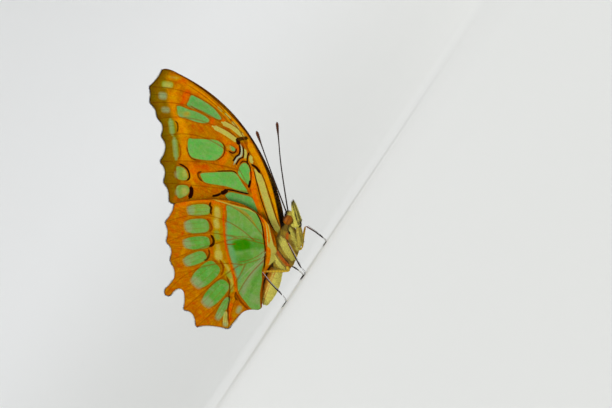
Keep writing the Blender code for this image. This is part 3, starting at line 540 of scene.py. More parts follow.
def forewing_marks():
    """Markings of the forewing's underside."""
    border = ((17.9, 52.6), (12.0, 53.6), (7.6, 50.6), (5.0, 47.2), (1.6, 44.4), (-3.6, 42.2), (-7.4, 39.0),
              (-10.6, 36.0))
    return [
        line("wash", "umber", 4.1, *border),
        line("wash", "olive", 1.1, *border, strength=0.75),
        line("wash", "marigold", 0.9, (14.5, 29.0), (16.9, 35.5), (17.4, 42.0), (17.0, 48.5), strength=0.8),
        line("wash", "marigold", 1.1, (15.4, 47.9), (12.2, 47.6), (9.6, 45.2), (7.0, 42.2), (4.6, 40.0),
             (1.6, 37.9), (-1.0, 35.4), (-3.0, 33.0), strength=0.7),
        line("wash", "marigold", 0.8, (9.8, 44.5), (7.9, 42.2), (6.2, 40.2), strength=0.8),
        line("wash", "amber", 0.9, (4.6, 41.4), (8.7, 38.2), (10.6, 34.0), strength=0.35),
        spot("wash", "amber", 7.6, 29.6, 1.8, 1.2, -20, strength=0.9),
        line("wash", "flame", 1.0, (-0.4, 37.0), (1.0, 34.6), (3.0, 31.4), strength=0.45),
        line("wash", "rust", 0.9, (-2.4, 37.9), (0.8, 37.0), (4.2, 34.9), (7.4, 32.0), strength=0.45),
        area("patch", "jade", (6.1, 39.8), (4.0, 38.8), (2.8, 37.4), (3.3, 35.4), (4.9, 32.7), (5.8, 31.8),
             (7.6, 31.3), (9.3, 31.9), (9.9, 33.0), (9.6, 34.6), (8.0, 37.2), (6.9, 38.8)),
        area("patch", "jade", (0.3, 33.2), (-0.65, 31.7), (-0.3, 30.3), (0.65, 28.5), (1.8, 26.2),
             (2.4, 24.3), (2.9, 22.4), (3.5, 21.5), (4.2, 22.7), (4.7, 24.0), (5.5, 25.7), (5.6, 26.9),
             (4.7, 28.2), (3.5, 29.8), (2.1, 31.5), (1.1, 32.7)),
        area("patch", "jade", (6.1, 25.9), (7.9, 26.4), (8.9, 26.1), (9.2, 25.3), (8.4, 24.0),
             (6.9, 23.0), (5.3, 22.4), (5.5, 24.3)),
        area("patch", "mint", (-0.65, 25.3), (0.0, 25.6), (1.0, 25.1), (1.8, 23.5), (2.7, 21.4),
             (3.0, 20.3), (2.6, 19.0), (1.5, 17.6), (0.0, 17.6), (-1.2, 22.0)),
        spot("patch", "mint", 10.2, 30.4, 1.1, 0.5, 100),
        area("patch", "mint", (11.1, 45.9), (9.7, 44.3), (10.2, 42.6), (10.9, 40.1), (11.9, 38.3),
             (12.9, 37.9), (13.2, 39.2), (12.9, 41.4), (12.2, 43.7), (11.8, 45.4)),
        area("patch", "mint", (13.0, 44.1), (14.2, 44.3), (15.6, 44.4), (16.0, 42.8), (16.2, 40.1),
             (15.9, 37.9), (15.0, 35.8), (14.4, 36.3), (14.0, 38.1), (13.8, 40.6), (13.1, 42.8)),
        spot("glow", "cream", 16.9, 49.7, 1.4, 0.45, -62, strength=0.5),
        spot("glow", "moss", 14.5, 50.3, 1.35, 0.75, -60, strength=0.95),
        spot("glow", "cream", 14.4, 50.3, 1.05, 0.55, -60, strength=0.75),
        spot("glow", "mist", 11.5, 50.0, 0.95, 0.8, -60, strength=0.9),
        spot("glow", "mist", 9.0, 47.8, 1.0, 0.65, -60, strength=0.75),
        line("glow", "moss", 0.6, (7.7, 45.7), (6.3, 44.6), (4.9, 43.5)),
        line("glow", "moss", 0.55, (4.3, 42.7), (2.4, 41.4), (0.2, 39.8)),
        line("glow", "mist", 0.3, (7.6, 45.7), (6.2, 44.7), (4.8, 43.6), strength=0.75),
        line("glow", "mist", 0.3, (4.2, 42.8), (2.3, 41.5), (0.1, 39.9), strength=0.75),
        area("patch", "moss", (-3.9, 37.2), (-2.9, 38.1), (-1.6, 38.9), (-0.9, 38.1), (-0.9, 36.8),
             (-2.2, 35.4), (-3.3, 35.7)),
        area("patch", "moss", (-8.0, 34.6), (-6.7, 36.1), (-5.3, 36.3), (-4.0, 34.6), (-4.6, 33.5),
             (-6.0, 33.4)),
        spot("glow", "mist", 10.4, 44.1, 0.8, 0.6, -60, strength=0.7),
        spot("glow", "marigold", 11.0, 43.2, 0.75, 0.45, -50, strength=0.75),
        spot("glow", "flame", 14.4, 45.4, 2.0, 0.75, 5, strength=0.95),
        spot("glow", "flame", 17.2, 47.9, 0.9, 0.5, -60, strength=0.7),
        spot("glow", "flame", 13.0, 37.2, 0.9, 0.45, 10, strength=0.9),
        spot("glow", "flame", 14.7, 35.1, 0.6, 0.3, 10, strength=0.9),
        spot("glow", "flame", 7.3, 30.8, 1.6, 0.4, 0, strength=0.8),
        line("glow", "flame", 0.25, (11.2, 31.4), (11.4, 29.8), (11.0, 28.6)),
        spot("glow", "cream", -1.8, 36.4, 0.9, 0.6, 40, strength=0.6),
        spot("glow", "mist", -3.2, 37.9, 0.8, 0.5, 40, strength=0.6),
        spot("glow", "cream", -5.6, 34.3, 1.0, 0.7, 20, strength=0.65),
        spot("glow", "mist", -7.0, 35.6, 0.7, 0.5, 20, strength=0.6),
        spot("glow", "leaf", 3.6, 27.4, 2.2, 1.0, -60, strength=0.4),
        spot("glow", "leaf", 6.5, 35.6, 2.4, 1.6, -60, strength=0.35),
        spot("glow", "leaf", 11.4, 42.0, 2.6, 0.5, -68, strength=0.5),
        spot("glow", "moss", 10.5, 44.6, 0.9, 0.5, -50, strength=0.7),
        spot("glow", "fern", 14.9, 41.6, 2.2, 0.6, -76, strength=0.25),
        line("glow", "tangerine", 0.5, (4.6, 30.6), (7.0, 30.0), (9.0, 30.3), (10.6, 31.6), (11.2, 33.4),
             strength=0.7),
        line("glow", "tangerine", 0.6, (-1.6, 33.0), (0.6, 35.4), (2.0, 37.4), strength=0.55),
        line("band", "cream", 0.6, (12.2, 36.6), (12.6, 33.1), (12.6, 29.6)),
        line("band", "cream", 0.56, (14.3, 35.2), (14.7, 32.5), (14.4, 29.2)),
        line("band", "cream", 0.24, (16.9, 38.0), (16.7, 37.2), (16.5, 36.3)),
        line("band", "cream", 0.27, (16.5, 35.8), (16.4, 34.9), (16.2, 33.9)),
        line("band", "cream", 0.3, (15.9, 33.4), (15.6, 32.3), (15.2, 31.0)),
        line("band", "amber", 0.3, (13.4, 29.9), (13.3, 29.3), (13.3, 28.8)),
        line("band", "mist", 0.24, (7.2, 27.8), (8.3, 27.9), (9.2, 27.9), (10.0, 27.5), (10.7, 27.6),
             (11.5, 28.1), (12.4, 28.9)),
        line("band", "cream", 0.38, (10.1, 26.4), (11.1, 26.8), (12.0, 27.5)),
        line("band", "cream", 0.42, (11.5, 25.6), (10.7, 25.0), (10.2, 24.3)),
        spot("glow", "umber", 13.9, 28.9, 0.95, 0.55, -30, strength=0.9),
        line("band", "tangerine", 0.6, (0.8, 15.4), (2.2, 17.6), (3.8, 19.6), (5.6, 21.3), (7.4, 22.7),
             (8.8, 23.9)),
        line("band", "cream", 0.82, (-0.6, 10.2), (1.2, 12.6), (3.1, 15.0), (5.5, 17.9), (7.7, 20.5),
             (9.2, 22.9)),
        line("band", "marigold", 0.6, (0.9, 10.2), (4.7, 13.9), (6.8, 16.6), (9.6, 20.2), (11.6, 23.5),
             (13.0, 26.3), (14.3, 28.0)),
        line("band", "amber", 0.2, (2.0, 16.6), (0.6, 14.6), (-1.0, 12.4)),
        line("stroke", "ink", 0.13, (4.3, 39.3), (3.2, 38.3), (2.5, 37.0), (2.9, 35.3), strength=0.7),
        line("stroke", "ink", 0.11, (5.4, 31.7), (7.5, 31.0), (9.4, 31.5), (10.2, 32.8)),
        line("stroke", "ink", 0.15, (3.2, 30.5), (4.6, 28.8), (5.8, 27.1), (5.8, 26.0)),
        line("stroke", "ink", 0.22, (-0.9, 31.8), (-0.6, 33.1), (0.2, 33.8), (1.2, 33.3), strength=0.75),
        line("stroke", "ink", 0.14, (7.6, 26.7), (9.1, 26.5), (9.6, 25.4), (8.9, 24.2), (7.5, 23.1),
             (6.0, 22.3), (5.0, 21.8)),
        line("stroke", "ink", 0.3, (4.7, 22.0), (5.6, 22.3), (6.4, 22.6)),
        line("stroke", "ink", 0.22, (0.9, 26.4), (1.7, 25.0), (2.6, 23.0), (3.6, 20.9)),
        line("stroke", "ink", 0.3, (-2.6, 28.2), (-1.6, 27.3), (-0.4, 26.6)),
        line("stroke", "ink", 0.5, (-0.7, 26.8), (0.3, 26.2), (1.1, 26.0)),
        line("stroke", "ink", 0.16, (9.4, 30.6), (9.4, 29.5), (10.1, 29.0), (10.9, 29.3)),
        line("stroke", "ink", 0.22, (-0.5, 38.9), (-0.3, 37.6), (-0.6, 36.2), (-1.9, 35.0), (-3.2, 35.2)),
        line("stroke", "ink", 0.5, (-6.5, 32.5), (-5.0, 32.7), (-3.5, 33.6)),
        line("stroke", "ink", 0.2, (8.0, 44.6), (7.8, 43.9), (6.8, 43.2), (5.9, 42.9), strength=0.8),
        line("stroke", "rust", 0.14, (4.2, 41.6), (3.0, 40.4), (1.6, 39.5), (0.2, 39.4), strength=0.7),
        line("stroke", "ink", 0.24, (7.8, 28.5), (8.3, 28.3), (9.2, 28.3), (10.1, 28.0), (11.0, 28.3),
             (11.8, 28.8), (12.2, 29.2)),
        line("stroke", "down", 0.1, (7.6, 27.8), (9.2, 27.9), (10.0, 27.5), (11.5, 28.1), (12.3, 28.8),
             strength=0.7),
        line("stroke", "ink", 0.5, (12.1, 29.2), (12.7, 29.8), (13.3, 30.2)),
        line("stroke", "ink", 0.19, (7.1, 27.3), (8.6, 27.4), (9.4, 27.3), (10.2, 26.9), (11.7, 27.7),
             (12.4, 28.4)),
        line("stroke", "ink", 0.2, (9.2, 25.1), (9.9, 25.6), (11.0, 26.1), (12.0, 26.3)),
        line("stroke", "soot", 0.42, (13.0, 30.0), (13.9, 29.2), (14.6, 28.3), strength=0.9),
        line("stroke", "rust", 0.1, (15.0, 35.0), (15.3, 32.4), (14.9, 29.6)),
        line("stroke", "rust", 0.08, (12.9, 36.0), (13.3, 33.2), (13.2, 30.3)),
        line("stroke", "ink", 0.13, (-0.9, 11.0), (0.5, 13.1), (2.3, 15.8), (4.5, 18.6), (7.0, 21.2),
             (9.6, 23.8)),
        line("stroke", "ink", 0.3, (9.8, 24.4), (9.9, 23.5), (9.8, 22.8), (9.3, 21.5)),
        line("stroke", "ink", 0.1, (0.6, 10.7), (2.0, 12.2), (4.3, 14.8), (6.5, 17.4), (8.4, 19.8),
             (9.8, 21.9),
             strength=0.85),
        line("stroke", "ink", 0.16, (0.9, 10.4), (7.0, 15.7), (11.6, 21.4), (15.0, 27.6), (17.0, 34.0),
             (18.3, 41.0), (18.3, 49.0), strength=0.85),
        line("stroke", "rust", 0.09, (13.2, 27.4), (15.4, 31.6), (16.5, 36.0), (17.2, 42.0), (17.2, 47.6)),
        line("stroke", "rust", 0.09, (13.6, 35.8), (13.5, 33.0), (13.2, 30.2)),
        line("stroke", "rust", 0.1, (13.4, 43.6), (13.5, 40.4), (13.7, 37.6)),
        line("stroke", "amber", 0.16, (1.3, 16.0), (0.0, 13.8), (-1.4, 11.4)),
    ] + border_lines(FORE_VEINS, FORE_STEMS, 1, 8, 0.8, 0.75)


def lunule_points(x, z, half_length, half_width, turn):
    """Arc round the inner end of a spot of the hindwing."""
    along, square = heading(turn)
    bends = np.array((-1.2, -0.6, 0.0, 0.6, 1.2))[:, None]
    out = along * half_length * (1.0 + 0.1 * np.cos(bends))
    return (x, z) + out + square * half_width * np.sin(bends) * 0.8


def hindwing_marks():
    """Markings of the hindwing's underside."""
    marks = [
        line("wash", "amber", 1.5, (-3.2, 26.0), (-6.5, 23.9), (-9.6, 21.7), (-13.0, 19.5), (-15.6, 16.8),
             (-17.9, 14.0), (-20.6, 12.3)),
        line("wash", "amber", 0.7, (-23.0, 10.2), (-26.0, 8.4), (-28.2, 7.9), strength=0.7),
        line("wash", "rust", 1.0, (-18.8, 31.6), (-22.0, 28.4), (-24.5, 26.2), strength=0.2),
        area("patch", "leaf", (-1.6, 24.0), (-3.6, 22.9), (-6.9, 20.8), (-9.8, 19.0), (-12.3, 16.9),
             (-13.6, 15.1), (-15.7, 12.9), (-18.0, 11.5), (-19.4, 9.9), (-20.2, 8.0), (-20.8, 5.6),
             (-19.6, 4.2), (-18.5, 4.7), (-16.0, 6.3), (-12.8, 7.6), (-10.4, 9.0), (-8.9, 9.5),
             (-5.0, 11.5), (-3.4, 12.6), (-1.8, 13.7), (-0.2, 15.2), (1.0, 16.9), (0.6, 19.3), (-0.4, 21.8)),
        line("wash", "tangerine", 0.7, (-9.6, 33.9), (-5.2, 30.9), (-3.0, 27.9), (-1.8, 25.2), strength=0.85),
        line("glow", "sea", 0.75, (-4.4, 22.0), (-6.4, 20.8), (-9.4, 18.7), (-11.8, 16.4), (-14.3, 13.7),
             (-16.4, 12.0), strength=0.7),
        spot("glow", "fern", -8.0, 16.2, 2.3, 1.5, -40, strength=0.9),
        spot("glow", "fern", -5.6, 13.8, 3.2, 1.5, -48, strength=0.5),
        spot("glow", "fern", -10.6, 14.0, 2.2, 1.3, -25, strength=0.45),
        spot("glow", "jade", -6.9, 19.4, 1.4, 1.0, -45, strength=0.6),
        spot("glow", "moss", -1.0, 18.4, 3.0, 0.7, 80, strength=0.35),
        line("glow", "mist", 0.5, (-8.2, 9.9), (-11.9, 10.4), (-16.3, 10.2), (-19.1, 9.4), strength=0.85),
        line("glow", "fern", 0.35, (-7.6, 9.2), (-11.4, 9.1), (-15.2, 8.8), (-18.4, 7.8), strength=0.3),
        spot("glow", "mist", -18.2, 6.6, 1.2, 1.4, 10, strength=0.35),
        spot("glow", "mist", -7.6, 10.6, 2.0, 0.7, 20, strength=0.5),
        spot("glow", "mist", -22.9, 8.3, 1.1, 0.6, 10, strength=0.85),
        spot("glow", "cream", -4.7, 25.0, 1.5, 0.8, 35, strength=0.8),
        spot("glow", "cream", -7.2, 23.8, 1.25, 0.75, 40, strength=0.85),
        spot("glow", "moss", -9.6, 22.2, 1.3, 0.8, 40, strength=0.8),
        spot("glow", "cream", -12.0, 20.6, 0.9, 0.6, 35, strength=0.6),
        spot("glow", "cream", -13.8, 19.4, 1.3, 1.0, 35, strength=0.85),
        line("glow", "cream", 0.4, (-14.3, 17.6), (-15.6, 15.4), (-17.2, 13.8), (-19.4, 12.1), strength=0.75),
        spot("glow", "moss", -16.6, 14.9, 1.0, 0.6, 60, strength=0.8),
        spot("glow", "moss", -19.2, 12.8, 1.2, 0.45, 40, strength=0.7),
        line("glow", "flame", 0.5, (-22.3, 10.9), (-24.8, 9.8), (-27.4, 8.4), strength=0.9),
        line("band", "rose", 0.21, (-1.6, 24.8), (-2.6, 24.2), (-4.7, 23.2), (-7.0, 21.8), (-9.2, 20.2),
             (-11.2, 18.7), (-12.6, 17.4), (-14.4, 15.4), (-16.8, 13.1), (-18.8, 11.5), (-20.0, 10.4)),
        line("band", "rust", 0.3, (-19.6, 11.0), (-20.5, 9.6), (-21.1, 8.0), (-21.3, 6.4)),
        line("band", "cream", 0.15, (1.1, 17.4), (0.7, 19.3), (-0.2, 21.4), (-1.0, 23.5), (-2.9, 28.8),
             strength=0.8),
        line("band", "rust", 0.3, (-19.0, 4.1), (-16.2, 5.8), (-12.9, 7.1), (-10.4, 8.8), strength=0.9),
        line("band", "orange", 0.24, (-18.3, 4.1), (-15.6, 5.6), (-12.4, 7.0), (-10.2, 8.6)),
        area("band", "cream", (1.2, 15.6), (0.8, 13.4), (-1.6, 11.2), (-3.9, 8.9), (-6.2, 7.4),
             (-8.6, 8.6), (-5.0, 10.6), (-2.2, 12.3), (0.0, 14.4)),
        line("stroke", "rose", 0.2, (1.3, 16.3), (0.1, 14.2), (-1.8, 12.7), (-4.2, 11.2), (-7.0, 9.6),
             strength=0.95),
        line("stroke", "tangerine", 0.22, (1.3, 15.5), (0.3, 13.6), (-1.6, 12.0), (-3.4, 10.9), strength=0.8),
        line("stroke", "tangerine", 0.4, (-4.4, 10.6), (-6.4, 9.5), (-8.9, 8.6), strength=0.9),
        line("stroke", "rust", 0.13, (1.3, 14.9), (0.6, 12.9), (-0.9, 11.3), (-2.7, 9.7)),
        line("stroke", "rust", 0.08, (0.8, 13.4), (-1.2, 11.4), (-3.4, 9.5)),
        line("stroke", "ink", 0.15, (1.2, 17.5), (0.9, 16.6), (-0.2, 14.9), (-1.8, 13.4), (-3.4, 12.2),
             (-5.0, 11.2), (-8.9, 9.2), (-10.4, 8.6)),
        line("stroke", "ink", 0.1, (1.15, 17.6), (1.0, 19.6), (0.1, 22.0), (-0.9, 24.4), strength=0.9),
        line("stroke", "ink", 0.26, (-3.2, 27.6), (-4.2, 27.4), (-4.5, 26.8), (-5.4, 26.5), (-5.9, 25.9),
             strength=0.9),
        line("stroke", "rust", 0.22, (-7.5, 26.3), (-8.1, 25.0), (-8.9, 24.1), (-10.1, 24.2), strength=0.85),
        line("stroke", "ink", 0.32, (-10.4, 23.6), (-11.0, 22.5), (-12.0, 21.9), (-13.3, 22.3),
             strength=0.95),
        line("stroke", "ink", 0.24, (-13.9, 22.2), (-14.9, 21.4), (-16.4, 21.2), (-17.2, 21.7),
             strength=0.75),
        line("stroke", "rust", 0.26, (-14.6, 18.6), (-15.4, 17.2), (-16.6, 16.5), (-18.0, 16.4),
             strength=0.9),
        line("stroke", "rust", 0.2, (-17.2, 15.2), (-18.4, 13.7), (-20.0, 12.6), (-21.4, 12.2)),
        line("stroke", "ink", 0.1, (-17.5, 14.9), (-18.9, 13.3), (-20.4, 12.4), strength=0.8),
        line("stroke", "ink", 0.17, (-20.7, 12.4), (-22.4, 11.4), (-24.2, 10.7), (-25.8, 9.7),
             (-27.4, 8.7), strength=0.85),
        line("stroke", "ink", 0.24, (-19.2, 11.2), (-20.4, 10.8), (-21.0, 9.8), strength=0.7),
        line("stroke", "rust", 0.11, (-7.8, 20.3), (-6.7, 18.0), (-5.0, 15.5), (-3.6, 12.4), strength=0.65),
        line("stroke", "rust", 0.15, (-10.2, 19.3), (-9.4, 18.2), (-8.6, 17.4), strength=0.85),
        line("stroke", "rust", 0.1, (-12.9, 15.2), (-10.5, 13.0), (-8.0, 11.6), (-5.6, 10.9), strength=0.7),
        line("stroke", "mist", 0.12, (-16.4, 12.2), (-12.2, 11.4), (-8.0, 10.6), (-6.0, 10.6), strength=0.8),
        line("stroke", "amber", 0.1, (-0.9, 21.4), (-0.7, 18.0), (-1.6, 15.4), strength=0.7),
        line("stroke", "rose", 0.1, (-1.2, 22.6), (-0.4, 20.0), (-0.6, 17.6), strength=0.5),
    ]
    for x, z, half_length, half_width, turn, colour in HIND_SPOTS:
        along, square = heading(turn)
        outer = (x, z) - along * half_length * 0.85
        inner = (x, z) + along * half_length * 0.25
        lunule = lunule_points(x, z, half_length, half_width, turn)
        marks += [
            spot("wash", "amber", x, z, half_length + 0.35, half_width + 0.35, turn, 0.75),
            spot("patch", colour, x, z, half_length, half_width, turn),
            spot("glow", "mist", *outer, half_length * 0.32, half_width * 0.75, turn, 0.75),
            line("glow", "rust", 0.12, *lunule, strength=0.85),
            spot("glow", "jade", *inner, half_length * 0.4, half_width * 0.45, turn, 0.4),
        ]
        for side in (-1, 1):
            fold = [(x, z) + square * half_width * 0.36 * side + along * half_length * share
                    for share in (0.85, 0.0, -0.9, -2.1)]
            marks.append(line("stroke", "rust", 0.06, *fold, strength=0.6))
    marks += border_lines(HIND_VEINS, HIND_STEMS, 0, 4, 0.88, 0.35)
    return marks + border_lines(HIND_VEINS, HIND_STEMS, 5, 8, 0.86, 0.35)


def body_marks():
    """Stripes of the thorax's and the head's side."""
    return [
        line("band", "ivory", 0.85, (-0.7, 9.8), (-2.0, 7.8), (-3.2, 5.6), (-4.0, 3.6)),
        line("band", "tangerine", 0.42, (-3.7, 9.8), (-5.0, 7.0), (-6.3, 4.0)),
        line("band", "ivory", 0.7, (-5.4, 9.6), (-6.6, 7.0), (-7.4, 4.8)),
        line("band", "straw", 0.5, (-8.0, 8.6), (-8.0, 7.2), (-8.4, 5.6)),
        line("band", "ivory", 0.3, (0.7, 7.7), (-0.6, 6.0), (-1.8, 4.6)),
        line("band", "ivory", 0.35, (2.0, 9.6), (1.5, 8.4), (0.6, 7.0)),
        spot("band", "tangerine", 0.35, 8.65, 0.85, 0.36, 32),
        line("stroke", "tangerine", 0.1, (0.1, 8.8), (-1.1, 7.3), (-2.5, 5.0), strength=0.75),
        line("stroke", "ink", 0.13, (-3.3, 9.6), (-4.4, 7.0), (-5.6, 4.4), strength=0.8),
        line("stroke", "ink", 0.1, (-0.2, 8.5), (-1.2, 6.8), (-2.6, 4.6), strength=0.85),
        line("stroke", "ink", 0.14, (0.5, 6.4), (-0.8, 4.9), (-2.0, 3.8), strength=0.8),
        line("stroke", "ink", 0.12, (-8.9, 9.2), (-8.7, 7.8), (-7.7, 5.8), strength=0.8),
        line("stroke", "ink", 0.14, (2.5, 9.9), (1.6, 9.4), (1.0, 8.4)),
        line("stroke", "rust", 0.1, (-4.8, 9.6), (-6.0, 6.8), (-7.0, 4.4), strength=0.8),
    ]


def covered(gap, softness):
    """Share from 0 outside an edge to 1 inside it, as a smooth step."""
    share = unit(0.5 - gap / (2 * softness))
    return share * share * (3 - 2 * share)


def painted(points, marks, colours):
    """Attributes of each layer at the points: its colour and cover, and how far a crisp edge lies."""
    result = {layer: np.zeros((len(points), 4)) for layer in LAYERS}
    edges = {layer: np.full(len(points), FAR) for layer in LAYERS if layer not in SOFT_LAYERS}
    for layer, colour, strength, half_width, closed, run in marks:
        margin = FAR + half_width
        near = np.all((points > run.min(axis=0) - margin) & (points < run.max(axis=0) + margin), axis=1)
        places = np.flatnonzero(near)
        if not len(places):
            continue
        gap, _, along = nearest(points[places], run, closed)
        if closed:
            gap[inside(points[places], run)] *= -1.0
        else:
            gap -= half_width * np.clip(np.sin(math.pi * along) * 3.0, 0.35, 1.0)
        if layer in SOFT_LAYERS:
            cover = covered(gap, LAYERS[layer]) * strength
            below = result[layer][places]
            total = cover + below[:, 3] * (1 - cover)
            share = (cover / np.maximum(total, 1e-6))[:, None]
            result[layer][places, :3] = blended(below[:, :3], colours[colour], share)
            result[layer][places, 3] = total
        else:
            over = gap < np.maximum(edges[layer][places], 0.0)
            edges[layer][places[over]] = gap[over]
            result[layer][places[over]] = (*colours[colour], strength)
    return {**result, **{layer + "_edge": values for layer, values in edges.items()}}


def composite(points, marks, colours, ground):
    """Colour at each point once every layer is painted over the ground."""
    layers = painted(points, marks, colours)
    colour = np.array(ground, float)
    for layer, softness in LAYERS.items():
        cover = layers[layer][:, 3:]
        if layer not in SOFT_LAYERS:
            cover = cover * covered(layers[layer + "_edge"], softness)[:, None]
        colour = blended(colour, layers[layer][:, :3], cover)
    return colour


def in_row_frame(mesh):
    """Carry a mesh from the maker's millimetres to the frame of the solid model."""
    mesh.transform(Matrix.Scale(MM, 4) @ Matrix.Translation(SHIFT))


def store(mesh, name, values):
    """Point attribute of floats, vectors or colours."""
    kind, field = {1: ("FLOAT", "value"), 3: ("FLOAT_VECTOR", "vector"), 4: ("FLOAT_COLOR", "color")}[
        1 if values.ndim == 1 else values.shape[1]]
    layer = mesh.attributes.get(name) or mesh.attributes.new(name, kind, "POINT")
    layer.data.foreach_set(field, np.ascontiguousarray(values, np.float32).ravel())


def points_of(mesh):
    """Places of a mesh's vertices."""
    places = np.empty(len(mesh.vertices) * 3)
    mesh.vertices.foreach_get("co", places)
    return places.reshape(-1, 3)


def tinted(colours):
    """The same colours with an opaque fourth channel."""
    return np.column_stack((colours, np.ones(len(colours))))


def place_piece(name, mesh, finishes, nodes=()):
    """Object that rides on the body, with its finishes and the solids that it stands for."""
    piece = bpy.data.objects.new(name, mesh)
    bpy.context.scene.collection.objects.link(piece)
    for finish in finishes:
        mesh.materials.append(finish)
    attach(piece, "root")
    if nodes:
        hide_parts(*nodes)
    return piece


class Finish:
    """Material whose nodes are added by short calls that pass sockets along."""

    def __init__(self, name, roughness, **fixed):
        self.material = bpy.data.materials.new(name)
        self.material.use_nodes = True
        self.tree = self.material.node_tree
        self.shader = self.tree.nodes["Principled BSDF"]
        self.shader.inputs["Roughness"].default_value = roughness
        for socket, value in fixed.items():
            self.shader.inputs[socket.replace("_", " ").title().replace("Ior", "IOR")].default_value = value

    def add(self, kind, sockets, **settings):
        """Node with its settings made and its sockets linked or filled."""
        node = self.tree.nodes.new(kind)
        for setting, value in settings.items():
            setattr(node, setting, value)
        for key, value in sockets.items():
            if isinstance(value, bpy.types.NodeSocket):
                self.tree.links.new(value, node.inputs[key])
            else:
                node.inputs[key].default_value = value
        return node

    def attribute(self, name, output="Fac"):
        """Socket that reads one of the mesh's attributes."""
        return self.add("ShaderNodeAttribute", {}, attribute_name=name).outputs[output]

    def maths(self, operation, *values):
        """Result of one sum on numbers or sockets."""
        return self.add("ShaderNodeMath", dict(enumerate(values)), operation=operation).outputs[0]

    def scaled(self, value, gain, base):
        """Value times the gain, plus the base."""
        return self.maths("MULTIPLY_ADD", value, gain, base)

    def fuzz(self, place):
        """Fine noise about 0 that roughens an edge."""
        return self.maths("SUBTRACT", self.noise(place, 6.0, 3.0), 0.5)

    def ramp(self, value, low, high, bottom=0.0, top=1.0):
        """Smooth step from bottom to top as the value goes from low to high."""
        sockets = {"Value": value, "From Min": low, "From Max": high, "To Min": bottom, "To Max": top}
        node = self.add("ShaderNodeMapRange", sockets, interpolation_type="SMOOTHSTEP")
        return node.outputs["Result"]

    def mix(self, factor, first, second, blend="MIX"):
        """Second colour over the first."""
        node = self.add("ShaderNodeMix", {}, data_type="RGBA", blend_type=blend)
        for index, value in ((0, factor), (6, first), (7, second)):
            if isinstance(value, bpy.types.NodeSocket):
                self.tree.links.new(value, node.inputs[index])
            else:
                node.inputs[index].default_value = value if index == 0 else (*value[:3], 1.0)
        return node.outputs[2]

    def stretched(self, vector, scale):
        """Vector multiplied by a scale on each axis."""
        return self.add("ShaderNodeMapping", {"Vector": vector, "Scale": scale}).outputs[0]

    def place(self):
        """Place on the object, in millimetres."""
        coordinates = self.add("ShaderNodeTexCoord", {}).outputs["Object"]
        return self.stretched(coordinates, (1 / MM, 1 / MM, 1 / MM))

    def noise(self, vector, scale, detail=2.0):
        """Soft noise from 0 to 1."""
        sockets = {"Vector": vector, "Scale": scale, "Detail": detail}
        return self.add("ShaderNodeTexNoise", sockets).outputs["Fac"]

    def cells(self, vector, scale, output="Distance"):
        """Voronoi cells."""
        return self.add("ShaderNodeTexVoronoi", {"Vector": vector, "Scale": scale}).outputs[output]

    def brighten(self, colour, value):
        """Colour with its brightness multiplied by the value."""
        return self.add("ShaderNodeHueSaturation", {"Color": colour, "Value": value}).outputs[0]

    def dress(self, colour, height=None, strength=0.4, depth=0.02, roughness=None):
        """Link the colour, the relief (its depth in millimetres) and the roughness; give the material."""
        self.tree.links.new(colour, self.shader.inputs["Base Color"])
        if height is not None:
            relief = {"Height": height, "Strength": strength, "Distance": depth * MM}
            bump = self.add("ShaderNodeBump", relief)
            self.tree.links.new(bump.outputs[0], self.shader.inputs["Normal"])
        if roughness is not None:
            self.tree.links.new(roughness, self.shader.inputs["Roughness"])
        return self.material


